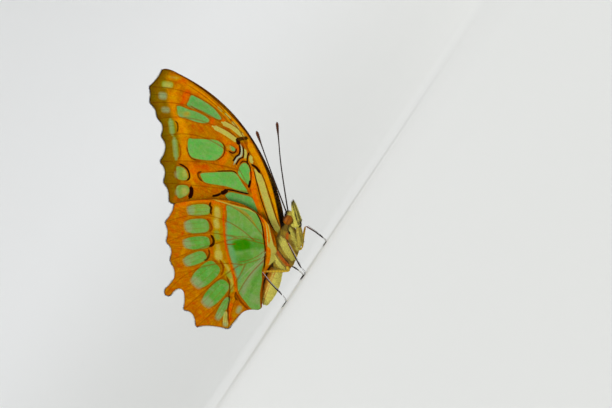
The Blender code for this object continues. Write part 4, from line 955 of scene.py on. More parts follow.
def wing_finish(name, rim_share, colours):
    """Underside: markings with scale-rough edges, fine streaks along the wing and rows of scales."""
    finish = Finish(name, 0.6, specular_ior_level=0.0)
    place = finish.place()
    flow = finish.attribute("flow", "Vector")
    scales = finish.stretched(flow, (7.0, 12.0, 1.0))
    fuzz = finish.fuzz(place)
    streaks = finish.noise(finish.stretched(flow, (0.16, 2.6, 1.0)), 1.0, 3.0)
    clouds = finish.noise(place, 0.35, 2.0)
    blotches = finish.noise(place, 1.1, 3.0)
    shaded = blended(colours["orange"], colours["amber"], 0.2)
    colour = finish.mix(finish.ramp(clouds, 0.35, 0.7), colours["orange"], shaded)
    colour = finish.mix(finish.ramp(blotches, 0.5, 0.72, 0.0, 0.5), colour, colours["marigold"])
    colour = finish.mix(finish.ramp(blotches, 0.5, 0.28, 0.0, 0.4), colour, colours["flame"])
    colour = finish.mix(finish.ramp(streaks, 0.35, 0.75, 0.0, 0.5), colour, colours["rust"])
    for layer, softness in LAYERS.items():
        cover = finish.attribute(layer, "Alpha")
        if layer in SOFT_LAYERS:
            cover = finish.maths("MULTIPLY", cover, finish.scaled(fuzz, 0.7, 1.0))
        else:
            edge = finish.scaled(fuzz, softness * 1.2, finish.attribute(layer + "_edge"))
            cover = finish.maths("MULTIPLY", cover, finish.ramp(edge, softness, -softness))
        if layer == "patch":
            halo = finish.ramp(edge, 0.55, 0.1, 0.0, 0.5)
            colour = finish.mix(halo, colour, colours["rust"])
        tint = finish.attribute(layer, "Color")
        if layer == "patch":
            tint = finish.mix(finish.ramp(blotches, 0.42, 0.7, 0.0, 0.4), tint, colours["mist"])
        colour = finish.mix(cover, colour, tint)
        if layer == "glow":
            rib = finish.ramp(finish.attribute("vein"), 0.95, 0.3, 0.0, 0.55)
            colour = finish.mix(rib, colour, colours["rust"])
    rim = finish.scaled(fuzz, 0.25, finish.attribute("margin"))
    rim = finish.ramp(rim, 0.26, 0.04, 0.0, rim_share)
    colour = finish.mix(rim, colour, colours["ink"])
    grain = finish.add("ShaderNodeSeparateColor", {"Color": finish.cells(scales, 1.0, "Color")}).outputs[0]
    dust = finish.noise(place, 3.2, 4.0)
    value = finish.maths("ADD", finish.maths("MULTIPLY", grain, 0.16), finish.maths("MULTIPLY", dust, 0.5))
    value = finish.scaled(streaks, 0.28, finish.maths("ADD", value, 0.54))
    hue = finish.scaled(finish.noise(place, 0.8), 0.07, 0.465)
    shifts = {"Color": colour, "Hue": hue, "Value": value, "Saturation": 1.07}
    colour = finish.add("ShaderNodeHueSaturation", shifts).outputs[0]
    height = finish.maths("ADD", finish.cells(scales, 1.0), finish.maths("MULTIPLY", streaks, 0.8))
    rough = finish.ramp(dust, 0.3, 0.7, 0.5, 0.7)
    return finish.dress(colour, height, 0.35, 0.05, rough)


def upper_finish(name, colours):
    """Upper side: dark brown with the green windows showing, seen only between the shut wings."""
    finish = Finish(name, 0.65, specular_ior_level=0.15)
    place = finish.place()
    flow = finish.attribute("flow", "Vector")
    fuzz = finish.fuzz(place)
    edge = finish.scaled(fuzz, 0.2, finish.attribute("patch_edge"))
    streaks = finish.noise(finish.stretched(flow, (0.3, 4.0, 1.0)), 1.0, 3.0)
    colour = finish.mix(finish.ramp(streaks, 0.4, 0.8), colours["soot"], colours["umber"])
    colour = finish.mix(finish.ramp(finish.noise(place, 2.2), 0.58, 0.7, 0.0, 0.7), colour, colours["amber"])
    colour = finish.mix(finish.ramp(edge, 0.15, -0.15, 0.0, 0.9), colour, finish.attribute("patch", "Color"))
    colour = finish.mix(finish.ramp(finish.attribute("vein"), 1.0, 0.35, 0.0, 0.7), colour, colours["soot"])
    value = finish.scaled(finish.noise(place, 3.2, 4.0), 0.4, 0.8)
    height = finish.cells(finish.stretched(flow, (7.0, 12.0, 1.0)), 1.0)
    return finish.dress(finish.brighten(colour, value), height, 0.35, 0.05)


def coat_finish(name, roughness=0.62, grain=2.5, depth=0.03):
    """Hair or scales that carry their own tint."""
    finish = Finish(name, roughness, specular_ior_level=0.25)
    place = finish.place()
    dust = finish.noise(place, grain, 4.0)
    value = finish.scaled(dust, 0.5, 0.75)
    height = finish.noise(place, grain * 6.0, 3.0)
    rough = finish.ramp(dust, 0.3, 0.7, roughness - 0.1, roughness + 0.1)
    return finish.dress(finish.brighten(finish.attribute("tint", "Color"), value), height, 0.5, depth, rough)


def horn_finish(name, roughness, rings, depth=0.03):
    """Hard brown skin of a limb, with fine scales and rings along it."""
    finish = Finish(name, roughness, specular_ior_level=0.2)
    place = finish.place()
    along = finish.add("ShaderNodeUVMap", {}, uv_map="Along").outputs[0]
    across = finish.add("ShaderNodeSeparateXYZ", {"Vector": along}).outputs[0]
    wave = finish.maths("SINE", finish.maths("MULTIPLY", across, rings * math.tau))
    dust = finish.noise(place, 7.0, 3.0)
    value = finish.scaled(wave, 0.12, finish.scaled(dust, 0.6, 0.7))
    height = finish.scaled(finish.cells(place, 12.0), 0.5, finish.maths("MULTIPLY", wave, 0.4))
    rough = finish.ramp(dust, 0.3, 0.7, roughness - 0.1, roughness + 0.12)
    return finish.dress(finish.brighten(finish.attribute("tint", "Color"), value), height, 0.5, depth, rough)


def eye_finish(colours):
    """Glossy compound eye: rows of facets, darker above, with faint dark bands and a painted reflection of
    green on its lower part.
    """
    finish = Finish("eye", 0.35, specular_ior_level=0.1, coat_weight=0.05, coat_roughness=0.25)
    place = finish.place()
    facets = finish.cells(place, 11.0)
    height = finish.add("ShaderNodeSeparateXYZ", {"Vector": place}).outputs[2]
    level = finish.maths("SUBTRACT", height, EYE_CENTRE[2] + SHIFT[2])
    wavy = finish.scaled(finish.noise(place, 0.9), 5.0, finish.maths("MULTIPLY", level, 6.5))
    bands = finish.maths("SINE", wavy)
    colour = finish.mix(finish.ramp(bands, -0.2, 1.0, 0.0, 0.55), colours["amberglass"], colours["rust"])
    colour = finish.mix(finish.ramp(level, 0.2, 1.05, 0.0, 0.8), colour, colours["soot"])
    # Olive on the lower part is a painted reflection of green below the eye
    colour = finish.mix(finish.ramp(level, -0.3, -1.0, 0.0, 0.6), colour, colours["olive"])
    colour = finish.mix(finish.ramp(facets, 0.35, 0.62, 0.0, 0.4), colour, colours["ink"])
    rough = finish.ramp(facets, 0.2, 0.6, 0.26, 0.42)
    return finish.dress(colour, finish.maths("MULTIPLY", facets, -1.0), 0.45, 0.03, rough)


def wing_blank(outline, cell):
    """Net of square cells in the wing's plane that fills its outline, its rim drawn onto the outline."""
    low = outline.min(axis=0) - cell
    counts = np.ceil((outline.max(axis=0) + cell - low) / cell).astype(int)
    work = bmesh.new()
    bmesh.ops.create_grid(work, x_segments=int(counts[0]), y_segments=int(counts[1]), size=0.5)
    flat = np.array([vert.co[:2] for vert in work.verts])
    flat = low + (flat - flat.min(axis=0)) / np.ptp(flat, axis=0) * counts * cell
    gap = nearest(flat, outline, closed=True)[0]
    gap[inside(flat, outline)] *= -1.0
    for vert, place in zip(work.verts, flat):
        vert.co = (place[0], 0.0, place[1])
    work.verts.index_update()
    outer = [face for face in work.faces if sum(gap[vert.index] for vert in face.verts) > 0]
    bmesh.ops.delete(work, geom=outer, context="FACES")
    rim = [vert for vert in work.verts if vert.is_boundary]
    feet = nearest(np.array([(vert.co.x, vert.co.z) for vert in rim]), outline, closed=True)[1]
    for vert, foot in zip(rim, feet):
        vert.co = (foot[0], 0.0, foot[1])
    beside = {edge.other_vert(vert) for vert in rim for edge in vert.link_edges} - set(rim)
    for _ in range(2):
        bmesh.ops.smooth_vert(work, verts=list(beside), factor=0.5, use_axis_x=True, use_axis_z=True)
    bmesh.ops.remove_doubles(work, verts=rim, dist=cell / 12)
    return work


def far_turn(kind, side):
    """Turn of a wing about its hinge, which only the left forewing has."""
    if (kind, side) != ("forewing", 1):
        return Matrix.Identity(4)
    hinge = Matrix.Translation((FORE_HINGE[0], 0.0, FORE_HINGE[1]))
    return hinge @ Matrix.Rotation(-FAR_LAG, 4, "Y") @ hinge.inverted()


def wing_pair(kind, outline, crests, offset, hinge, marks, finishes):
    """Right wing and its mirror image on the left, each a thin sheet with raised veins."""
    sizes = bpy.context.scene.butterfly_wings
    work = wing_blank(outline, sizes.cell / MM)
    right = bpy.data.meshes.new(f"{kind}_scales_right")
    work.to_mesh(right)
    work.free()
    places = points_of(right)
    flat = places[:, (0, 2)]
    ratio = np.full(len(flat), FURTHEST_RATIO)
    distance = np.full(len(flat), FURTHEST_CREST)
    for crest in crests:
        gap, _, along = nearest(flat, crest)
        distance = np.minimum(distance, gap)
        ratio = np.minimum(ratio, gap / (sizes.vein_width / MM * (1.0 - VEIN_TAPER * along)))
    margin = nearest(flat, outline, closed=True)[0]
    pleat = PLEAT_DEPTH * np.cos(unit(distance / PLEAT_REACH) * math.pi)
    places[:, 1] = -(offset(flat) + pleat * unit(margin / PLEAT_REACH))
    right.vertices.foreach_set("co", places.ravel())
    bearing = np.arctan2(flat[:, 0] - hinge[0], flat[:, 1] - hinge[1])
    store(right, "flow", np.column_stack((reach(flat, hinge), bearing * FLOW_RADIUS, np.zeros(len(flat)))))
    store(right, "vein", ratio)
    store(right, "margin", margin)
    for name, values in painted(flat, marks, palette()).items():
        store(right, name, values)
    rise = np.exp(-ratio ** 2) * unit(margin / VEIN_FADE)
    left = right.copy()
    left.name = f"{kind}_scales_left"
    left.transform(Matrix.Scale(-1.0, 4, (0.0, 1.0, 0.0)))
    left.flip_normals()
    for hand, side, mesh in (("right", -1, right), ("left", 1, left)):
        mesh.transform(far_turn(kind, side))
        in_row_frame(mesh)
        mesh.shade_smooth()
        keep_rim_sharp(mesh)
        wing = place_piece(mesh.name, mesh, finishes, [f"{kind}_{hand}"])
        group = wing.vertex_groups.new(name="thickness")
        for index, weight in enumerate(rise):
            group.add([index], float(weight), "REPLACE")
        wall = wing.modifiers.new("wing wall", "SOLIDIFY")
        wall.thickness = sizes.vein
        wall.offset = 0.0
        wall.vertex_group = group.name
        wall.thickness_vertex_group = sizes.membrane
        wall.material_offset = 1


def keep_rim_sharp(mesh):
    """Mark the open edges of a sheet sharp, so that its rim shades crisply."""
    work = bmesh.new()
    work.from_mesh(mesh)
    for edge in work.edges:
        edge.smooth = not edge.is_boundary
    work.to_mesh(mesh)
    work.free()


def tuft_mesh(name, roots, normals, lies, lengths, widths, lifts, tints, unwrap):
    """Coat of closed three-sided blades, each bent along its lie, in the maker's millimetres, with painted
    shade towards each root and painted light at each tip.
    """
    count = len(roots)
    sides = unit_rows(np.cross(lies, normals))
    lengths, widths, lifts = lengths[:, None], widths[:, None], lifts[:, None]
    spots = []
    shades = []
    for share, fullness in BLADE_LEVELS:
        centre = roots - normals * widths * 1.5 * (share == 0) + lies * lengths * share
        centre = centre + normals * lengths * lifts * share * (1.35 - 0.6 * share)
        half = widths * fullness
        spots += [centre - sides * half, centre + sides * half, centre + normals * half * 0.6]
        # Each level is darker near the root and lighter towards the tip (brighter still at the point):
        # painted shade deep in the coat, painted light on the hair ends
        shades += [tints * (0.82 + 0.3 * share)] * 3
    spots.append(roots + lies * lengths + normals * lengths * lifts * 0.75)
    shades.append(tints * 1.15)
    places = np.stack(spots, axis=1).reshape(-1, 3)
    tint = unit(np.stack(shades, axis=1).reshape(-1, 3))
    ring = ((0, 1), (1, 2), (2, 0))
    pattern = [(0, 1, 2)]
    for level in (0, 3):
        pattern += [(level + b, level + a, level + a + 3, level + b + 3) for a, b in ring]
    pattern += [(6 + b, 6 + a, 9) for a, b in ring]
    faces = [tuple(first + corner for corner in face)
             for first in range(0, count * 10, 10) for face in pattern]
    mesh = bpy.data.meshes.new(name)
    mesh.from_pydata(places.tolist(), [], faces)
    across = np.array([-1, 1, 0] * 3 + [0]) * UNWRAP_STEP
    along = np.array([0, 0, 0, 1, 1, 1, 2, 2, 2, 3]) * UNWRAP_STEP
    corner_uv = (unwrap[:, None, :] + np.stack((across, along), axis=1)[None]).reshape(-1, 2)
    corners = np.empty(len(mesh.loops), int)
    mesh.loops.foreach_get("vertex_index", corners)
    layer = mesh.uv_layers.new(name="OFBake")
    layer.data.foreach_set("uv", corner_uv[corners].ravel())
    store(mesh, "tint", tinted(tint))
    in_row_frame(mesh)
    mesh.shade_smooth()
    return mesh


def scatter(mesh, count, draw):
    """Random places spread evenly over a mesh: place, normal and unwrap, in the mesh's own units."""
    mesh.calc_loop_triangles()
    triangles = len(mesh.loop_triangles)
    areas = np.empty(triangles)
    loops = np.empty(triangles * 3, int)
    corners = np.empty(triangles * 3, int)
    mesh.loop_triangles.foreach_get("area", areas)
    mesh.loop_triangles.foreach_get("loops", loops)
    mesh.loop_triangles.foreach_get("vertices", corners)
    uv = np.empty(len(mesh.loops) * 2)
    mesh.uv_layers["Along"].data.foreach_get("uv", uv)
    chosen = np.searchsorted(np.cumsum(areas), draw.random(count) * areas.sum())
    chosen = np.minimum(chosen, triangles - 1)
    first, second = draw.random((2, count))
    folded = first + second > 1
    first[folded], second[folded] = 1 - first[folded], 1 - second[folded]
    weights = np.stack((1 - first - second, first, second), axis=1)[:, :, None]
    places = points_of(mesh)[corners.reshape(-1, 3)[chosen]]
    unwrap = uv.reshape(-1, 2)[loops.reshape(-1, 3)[chosen]]
    normals = unit_rows(np.cross(places[:, 1] - places[:, 0], places[:, 2] - places[:, 0]))
    return (places * weights).sum(axis=1), normals, (unwrap * weights).sum(axis=1)


def laid(lies, normals, draw, stray):
    """Directions turned into the surface's plane, each strayed a little."""
    lies = lies + draw.normal(0.0, stray, lies.shape)
    return unit_rows(lies - normals * np.sum(lies * normals, axis=1)[:, None])


def limb_roots(skin, path, side, count, stray, draw):
    """Roots of a limb's coat: place, normal, unwrap, lie along the limb and share of the way along it."""
    roots, normals, unwrap = scatter(skin, count, draw)
    run = smooth_run(path, 12) * (1, side, 1)
    at = ((roots[:, None] - run[None]) ** 2).sum(axis=2).argmin(axis=1)
    lies = laid(unit_rows(np.gradient(run, axis=0)[at]), normals, draw, stray)
    return roots, normals, unwrap, lies, at / len(run)


def wrapped(work, rows, sides, place):
    """Grid of faces rolled into a closed round form: place(along, turn) gives each corner's place."""
    verts = bmesh.ops.create_grid(work, x_segments=rows, y_segments=sides, size=0.5, calc_uvs=True)["verts"]
    grid = np.array([vert.co[:2] for vert in verts])
    grid = (grid - grid.min(axis=0)) / np.ptp(grid, axis=0)
    for vert, spot_there in zip(verts, place(grid[:, 0], grid[:, 1] * math.tau)):
        vert.co = spot_there
    bmesh.ops.remove_doubles(work, verts=verts, dist=WELD)


def new_form():
    """Bmesh with the unwrap and the tint that every round form keeps."""
    work = bmesh.new()
    work.loops.layers.uv.new("Along")
    work.verts.layers.float_color.new("tint")
    return work


def finished_form(name, work):
    """Mesh of a form in the maker's millimetres, faces outwards and shaded smooth."""
    bmesh.ops.recalc_face_normals(work, faces=work.faces)
    mesh = bpy.data.meshes.new(name)
    work.to_mesh(mesh)
    work.free()
    mesh.shade_smooth()
    return mesh


def place_form(name, work, finish, node):
    """Piece that is a finished form and stands for one solid."""
    mesh = finished_form(name, work)
    in_row_frame(mesh)
    place_piece(name, mesh, (finish,), (node,))


def tapered(path, radii, side=1):
    """Controls of a sweep: the points of a path, mirrored onto its side, each with its radius."""
    return np.column_stack((np.array(path) * (1, side, 1), radii))


def sweep(work, controls, tints, rows, sides, blunt=10.0, ripple=None):
    """Round closed limb along a smooth run of (x, y, z, radius) controls, tinted from end to end."""
    start = len(work.verts)
    run = smooth_run(controls, 10)
    span = run_lengths(run[:, :3])
    span /= span[-1]
    ahead = unit_rows(np.gradient(run[:, :3], axis=0))
    side = np.cross(ahead[0], (0.0, 1.0, 0.0) if abs(ahead[0][1]) < 0.9 else (1.0, 0.0, 0.0))
    frames = []
    for direction in ahead:
        side = side - direction * (side @ direction)
        side /= np.linalg.norm(side)
        frames.append(side)
    frames = np.array(frames)

    def place(along, turn):
        point = sampled(along, span, run)
        across = sampled(along, span, frames)
        up = np.cross(sampled(along, span, ahead), across)
        radius = point[:, 3] * np.sqrt(unit(1.0 - np.abs(2 * along - 1) ** blunt))
        if ripple:
            radius = radius * ripple(along)
        return point[:, :3] + radius[:, None] * (np.cos(turn)[:, None] * across + np.sin(turn)[:, None] * up)

    wrapped(work, rows, sides, place)
    work.verts.ensure_lookup_table()
    layer = work.verts.layers.float_color["tint"]
    stops = np.linspace(0.0, 1.0, len(tints))
    fresh = list(work.verts)[start:]
    spots = np.array([vert.co for vert in fresh])
    gaps = ((spots[:, None, :] - run[None, :, :3]) ** 2).sum(axis=2)
    along = span[gaps.argmin(axis=1)]
    for vert, colour in zip(fresh, sampled(along, stops, np.array(tints))):
        vert[layer] = (*colour, 1.0)


def body_rings():
    """Rings of the whole body, from the tip of the abdomen to the face."""
    front, tip = np.array(ABDOMEN_FRONT), np.array(ABDOMEN_TIP)
    rings = [(tip[0] - 0.05, tip[1], 0.0, 0.0)]
    for segment in range(ABDOMEN_SEGMENTS, 0, -1):
        for share, groove in ((0.98, SEGMENT_GROOVE), (0.75, 0.0), (0.3, 0.02), (0.04, 0.06)):
            along = (segment - 1 + share) / ABDOMEN_SEGMENTS
            fullness = math.sin(math.pi * (0.22 + 0.7 * along)) ** 0.6
            x, z = front + (tip - front) * along
            rings.append((x, z, ABDOMEN_HALF_WIDTH * fullness - groove,
                          ABDOMEN_HALF_HEIGHT * fullness - groove))
    return rings + list(THORAX_RINGS)


def body_place(along, turn):
    """Place on the body's skin."""
    run = smooth_run(body_rings(), 6)
    span = run_lengths(run)
    x, z, half_width, half_height = sampled(along, span / span[-1], run).T
    return np.stack((x, half_width * np.cos(turn), z + half_height * np.sin(turn)), axis=1)


def body_tint(places, colours, draw=None):
    """Colour of the body's coat: side stripes, dark back, pale belly, orange line on the abdomen."""
    x, _, z = places.T
    axis_height = np.interp(x, (-18.7, -9.0, -2.5, 3.65), (4.27, 6.1, 7.8, 10.25))
    axis_half = np.interp(x, (-18.7, -9.0, -5.0, -1.0, 2.2, 3.65), (0.8, 1.3, 3.3, 3.3, 1.1, 1.4))
    level = (z - axis_height) / axis_half

    def over(base, other, share):
        return blended(base, other, unit(share)[:, None])

    ground = over(colours["bark"], colours["straw"], 0.55 + 0.25 * np.sin(x * 3.0))
    side = composite(places[:, (0, 2)], body_marks(), colours, ground)
    abdomen = over(colours["ivory"], colours["tangerine"], 1.0 - np.abs(level - 0.1) / 0.16)
    abdomen = over(abdomen, colours["marigold"], (level - 0.3) * 3.0)
    tint = over(side, abdomen, (-8.7 - x) * 2.0)
    dark_from = np.where(x < -8.7, 1.25, 0.62)
    tint = over(tint, colours["soot"], (level - dark_from) * 5.0 * (x < 3.0))
    head = over(colours["ivory"], colours["straw"], 0.3 + 0.25 * np.sin(x * 4.0 + z * 3.0))
    head = over(head, colours["soot"], (z - 10.9) * 2.2)
    head = over(head, colours["soot"], (2.85 - x) * 2.0 * (z > 9.0))
    tint = over(tint, head, (x - 2.1) * 2.5)
    return tint if draw is None else tint * draw.uniform(0.72, 1.22, (len(tint), 1))


class BUTTERFLY_OT_wings(bpy.types.Operator):
    """Make the four wings with their markings and fringes."""

    bl_idname = "butterfly.wings"
    bl_label = "Wings"

    def execute(self, context):
        colours = palette()
        upper = upper_finish("upper_side_scales", colours)
        draw = np.random.default_rng(context.scene.butterfly_body.seed)
        kinds = (
            ("forewing", forewing_outline(), FORE_VEINS, FORE_STEMS, fore_offset, FORE_HINGE,
             forewing_marks(), wing_finish("forewing_scales", 0.8, colours)),
            ("hindwing", hindwing_outline(), HIND_VEINS, HIND_STEMS, hind_offset, HIND_HINGE,
             hindwing_marks(), wing_finish("hindwing_scales", 0.45, colours)),
        )
        fringe = coat_finish("fringe_scales")
        for kind, outline, veins, stems, offset, hinge, marks, under in kinds:
            wing_pair(kind, outline, vein_crests(veins, stems), offset, hinge, marks, (under, upper))
            self.fringe(kind, outline, veins, offset, hinge, fringe, colours, draw)
        return {"FINISHED"}

    def fringe(self, kind, outline, veins, offset, hinge, finish, colours, draw):
        """Row of narrow scales that stand out from the margins of both wings of a kind."""
        span = run_lengths(outline)
        at = np.arange(0.0, span[-1], FRINGE_SPACING)
        places = sampled(at, span, outline)
        ahead = unit_rows(np.gradient(places, axis=0))
        outward = np.stack((-ahead[:, 1], ahead[:, 0]), axis=1)
        teeth = np.array([row[2] for row in veins.values()])
        tooth_gap = np.min(np.hypot(*(places[:, None] - teeth[None]).transpose(2, 0, 1)), axis=1)
        far = unit((reach(places, hinge) - 9.0) / 8.0)
        if np.mean(np.sum(outward * (places - outline.mean(axis=0)), axis=1)) < 0:
            outward = -outward
        sizes = bpy.context.scene.butterfly_wings
        lengths = sizes.fringe / MM * (0.15 + 0.85 * far) * draw.uniform(0.7, 1.15, len(at))
        outer = unit((0.3 - outward[:, 0]) * 5.0) * unit(4.6 - tooth_gap)
        lengths *= 0.3 + 0.7 * outer
        pale = (np.clip((tooth_gap - 0.9) / 1.1, 0.0, 0.9) * outer)[:, None]
        bare = blended(colours["rust"], colours["soot"], outer[:, None])
        tints = blended(bare, colours["down"], pale)
        unwrap = (places - outline.min(axis=0)) / np.ptp(outline, axis=0).max() * 0.98 + 0.01
        for side, hand in ((-1, "right"), (1, "left")):
            y = side * (offset(places) + draw.uniform(-0.04, 0.04, len(at)))
            sunk = places - outward * 0.05
            roots = np.stack((sunk[:, 0], y, sunk[:, 1]), axis=1)
            lies = np.stack((outward[:, 0], draw.normal(0.0, 0.08, len(at)), outward[:, 1]), axis=1)
            lies = unit_rows(lies + draw.normal(0.0, 0.12, lies.shape))
            turn = np.array(far_turn(kind, side))
            roots = roots @ turn[:3, :3].T + turn[:3, 3]
            normals = np.tile((0.0, float(side), 0.0), (len(at), 1))
            widths = np.full(len(at), FRINGE_HALF_WIDTH)
            mesh = tuft_mesh(f"{kind}_fringe_{hand}", roots, normals, lies, lengths, widths,
                             np.zeros(len(at)), tints, unwrap)
            place_piece(mesh.name, mesh, (finish,))


class BUTTERFLY_OT_body(bpy.types.Operator):
    """Make one skin for abdomen, thorax and head, and the hairs over it."""

    bl_idname = "butterfly.body"
    bl_label = "Body"

    def execute(self, context):
        colours = palette()
        sizes = context.scene.butterfly_body
        draw = np.random.default_rng(sizes.seed)
        work = new_form()
        wrapped(work, BODY_ROWS, BODY_SIDES, body_place)
        skin = finished_form("body_skin", work)
        # The skin takes the coat's colours darkened to 0.8, as painted shade under the hairs
        store(skin, "tint", tinted(body_tint(points_of(skin), colours) * 0.8))
        hair = coat_finish("body_hair")
        regions = (
            ("abdomen_fur", ABDOMEN_TUFTS, sizes.abdomen_hair, 0.06, 0.1, "body_fur"),
            ("thorax_fur", THORAX_TUFTS, sizes.thorax_hair, 0.05, 0.2, "body_fur"),
            ("head_fur", HEAD_TUFTS, sizes.head_hair, 0.03, 0.3, "head_fur"),
        )
        for name, count, hair_length, half_width, lift, slot in regions:
            roots, normals, unwrap = scatter(skin, round(count * sizes.density), draw)
            keep = self.region(name, roots)
            roots, normals, unwrap = roots[keep], normals[keep], unwrap[keep]
            lies = laid(self.lie(name, roots), normals, draw, 0.16)
            lengths = hair_length / MM * draw.uniform(0.55, 1.1, len(roots)) * self.trim(name, roots)
            widths = half_width * draw.uniform(0.7, 1.2, len(roots))
            lifts = lift * draw.uniform(0.4, 1.5, len(roots))
            mesh = tuft_mesh(name, roots, normals, lies, lengths, widths, lifts,
                             body_tint(roots, colours, draw), unwrap)
            place_piece(name, mesh, (hair,))
        in_row_frame(skin)
        place_piece("body_skin", skin, (coat_finish("body_skin", 0.7, 4.0),),
                    ("head", "thorax", "abdomen"))
        return {"FINISHED"}

    def region(self, name, roots):
        """Which roots belong to a region of the coat."""
        x, y, z = roots.T
        from_eye = np.hypot(x - EYE_CENTRE[0], z - EYE_CENTRE[2])
        eyes = (from_eye < EYE_RADIUS * 1.08) & (abs(y) > 0.7)
        return {
            "abdomen_fur": x < -8.9,
            "thorax_fur": (x >= -9.1) & (x < 2.4),
            "head_fur": (x >= 2.2) & ~eyes,
        }[name]

    def lie(self, name, roots):
        """Direction of the hairs before they are laid on the surface."""
        x, y, z = roots.T
        if name == "abdomen_fur":
            return np.tile((-1.0, 0.0, -0.15), (len(roots), 1))
        if name == "head_fur":
            return np.stack((0.5 + 0 * x, 0.15 * np.sign(y), (z - 10.0) * 0.9 + 0.2), axis=1)
        top = unit((z - 10.0) / 1.2)
        chest = self.chest(x, z)
        return np.stack((-0.5 - 0.5 * top + 1.3 * chest, 0 * x, -0.85 * (1 - top)), axis=1)

    def chest(self, x, z):
        """Share from 0 to 1 of the loose fur of the breast."""
        return unit((x + 1.5) / 1.5) * unit((7.8 - z) / 1.5)

    def trim(self, name, roots):
        """Share of a hair's full length at its root's place."""
        x, _, z = roots.T
        if name == "abdomen_fur":
            return 0.8 + 0.5 * (x < -17.5)
        if name == "head_fur":
            return 0.55 + 0.55 * unit((z - 10.2) / 1.0)
        return 0.5 + 0.5 * unit((z - 9.2) / 1.5) + 0.7 * self.chest(x, z)


class BUTTERFLY_OT_head(bpy.types.Operator):
    """Make the eyes, palps, proboscis and feelers."""

    bl_idname = "butterfly.head"
    bl_label = "Head parts"

    def execute(self, context):
        colours = palette()
        sizes = context.scene.butterfly_body
        draw = np.random.default_rng(sizes.seed + 1)
        eye = eye_finish(colours)
        feeler = horn_finish("feeler", 0.45, ANTENNA_RINGS)
        palp_skin = coat_finish("palp_skin", 0.7, 4.0)
        palp_hair = coat_finish("palp_hair")
        for side, hand in ((1, "left"), (-1, "right")):
            self.eye(side, hand, eye)
            self.feeler(side, hand, feeler, colours)
            self.palp(side, hand, palp_skin, palp_hair, colours, draw)
        self.proboscis(horn_finish("proboscis", 0.4, 60), colours)
        return {"FINISHED"}

    def eye(self, side, hand, finish):
        """Oval eye."""
        work = bmesh.new()
        size = Matrix.Diagonal((EYE_RADIUS, EYE_HALF_DEPTH, EYE_RADIUS, 1.0))
        centre = Matrix.Translation(np.array(EYE_CENTRE) * (1, side, 1))
        matrix = centre @ size @ Matrix.Rotation(math.radians(90), 4, "X")
        bmesh.ops.create_uvsphere(work, u_segments=64, v_segments=32, radius=1.0, matrix=matrix)
        place_form(f"eyeball_{hand}", work, finish, f"eye_{hand}")

    def feeler(self, side, hand, finish, colours):
        """Slender ringed feeler that swells into a club."""
        root = np.array(ANTENNA_ROOT) * (1, side, 1)
        middle, tip = (np.array(place) for place in ANTENNA_REACH[side])
        path = (root - (0.5, 0.0, 0.6), root,
                *(middle + (tip - middle) * share for share in (0.0, 0.6, 0.8, 0.93, 1.0)))
        ink, soot, rust = (colours[key] for key in ("ink", "soot", "rust"))
        tints = (ink, soot, soot, ink, ink, soot, rust * 0.45)
        work = new_form()

        def ripple(along):
            return 1.0 - 0.12 * np.abs(np.sin(along * ANTENNA_RINGS * math.pi)) ** 6

        sweep(work, tapered(path, ANTENNA_RADII), tints, ANTENNA_RINGS * 7, 14, 40.0, ripple)
        base = (root - (0.25, 0.0, 0.3), root + (0.1, 0.0, 0.12))
        sweep(work, tapered(base, (0.32, 0.3)), (soot, soot), 10, 16, 3.0)
        place_form(f"feeler_{hand}", work, finish, f"antenna_{hand}")

    def palp(self, side, hand, skin_finish, hair_finish, colours, draw):
        """Upturned palp, thick with scales and bristles along its front."""
        ivory, straw, soot = (colours[key] for key in ("ivory", "straw", "soot"))
        work = new_form()
        sweep(work, tapered(PALP_PATH, PALP_RADII, side), (ivory, ivory, straw), 60, 20, 12.0)
        skin = finished_form(f"palp_skin_{hand}", work)
        roots, normals, unwrap, lies, share = limb_roots(skin, PALP_PATH, side, PALP_TUFTS, 0.14, draw)
        front = normals @ np.array((0.83, 0.0, -0.55))
        lengths = (0.38 + 0.35 * unit(front) + 0.25 * share) * draw.uniform(0.6, 1.2, len(roots))
        lifts = 0.12 + 0.35 * unit(front) ** 2
        stripe = unit(1.0 - np.abs(front - 0.75) / 0.22)[:, None] * (share > 0.2)[:, None]
        tints = blended(ivory * 0.95 + straw * 0.15, soot, stripe)
        tip = np.clip((share - 0.82) * 7.0, 0.0, 0.9)[:, None]
        tints = blended(tints, soot, tip) * draw.uniform(0.75, 1.2, (len(roots), 1))
        mesh = tuft_mesh(f"palp_fur_{hand}", roots, normals, lies, lengths,
                         0.036 * draw.uniform(0.7, 1.2, len(roots)), lifts, tints, unwrap)
        place_piece(mesh.name, mesh, (hair_finish,))
        in_row_frame(skin)
        place_piece(skin.name, skin, (skin_finish,), (f"palp_{hand}",))

    def proboscis(self, finish, colours):
        """Coiled tongue between the palps."""
        steps = round(PROBOSCIS_TURNS * PROBOSCIS_STEPS)
        controls = []
        for step in range(steps + 1):
            angle = math.radians(100) - step / PROBOSCIS_STEPS * math.tau
            radius = 0.35 + PROBOSCIS_PITCH * (steps - step) / PROBOSCIS_STEPS
            thickness = 0.19 - 0.07 * step / steps
            controls.append((PROBOSCIS_CENTRE[0] + radius * math.cos(angle), 0.0,
                             PROBOSCIS_CENTRE[1] + radius * math.sin(angle), thickness))
        work = new_form()
        sweep(work, controls, [colours["ink"], colours["soot"], colours["soot"]], 180, 16, 30.0)
        place_form("coiled_tongue", work, finish, "proboscis")


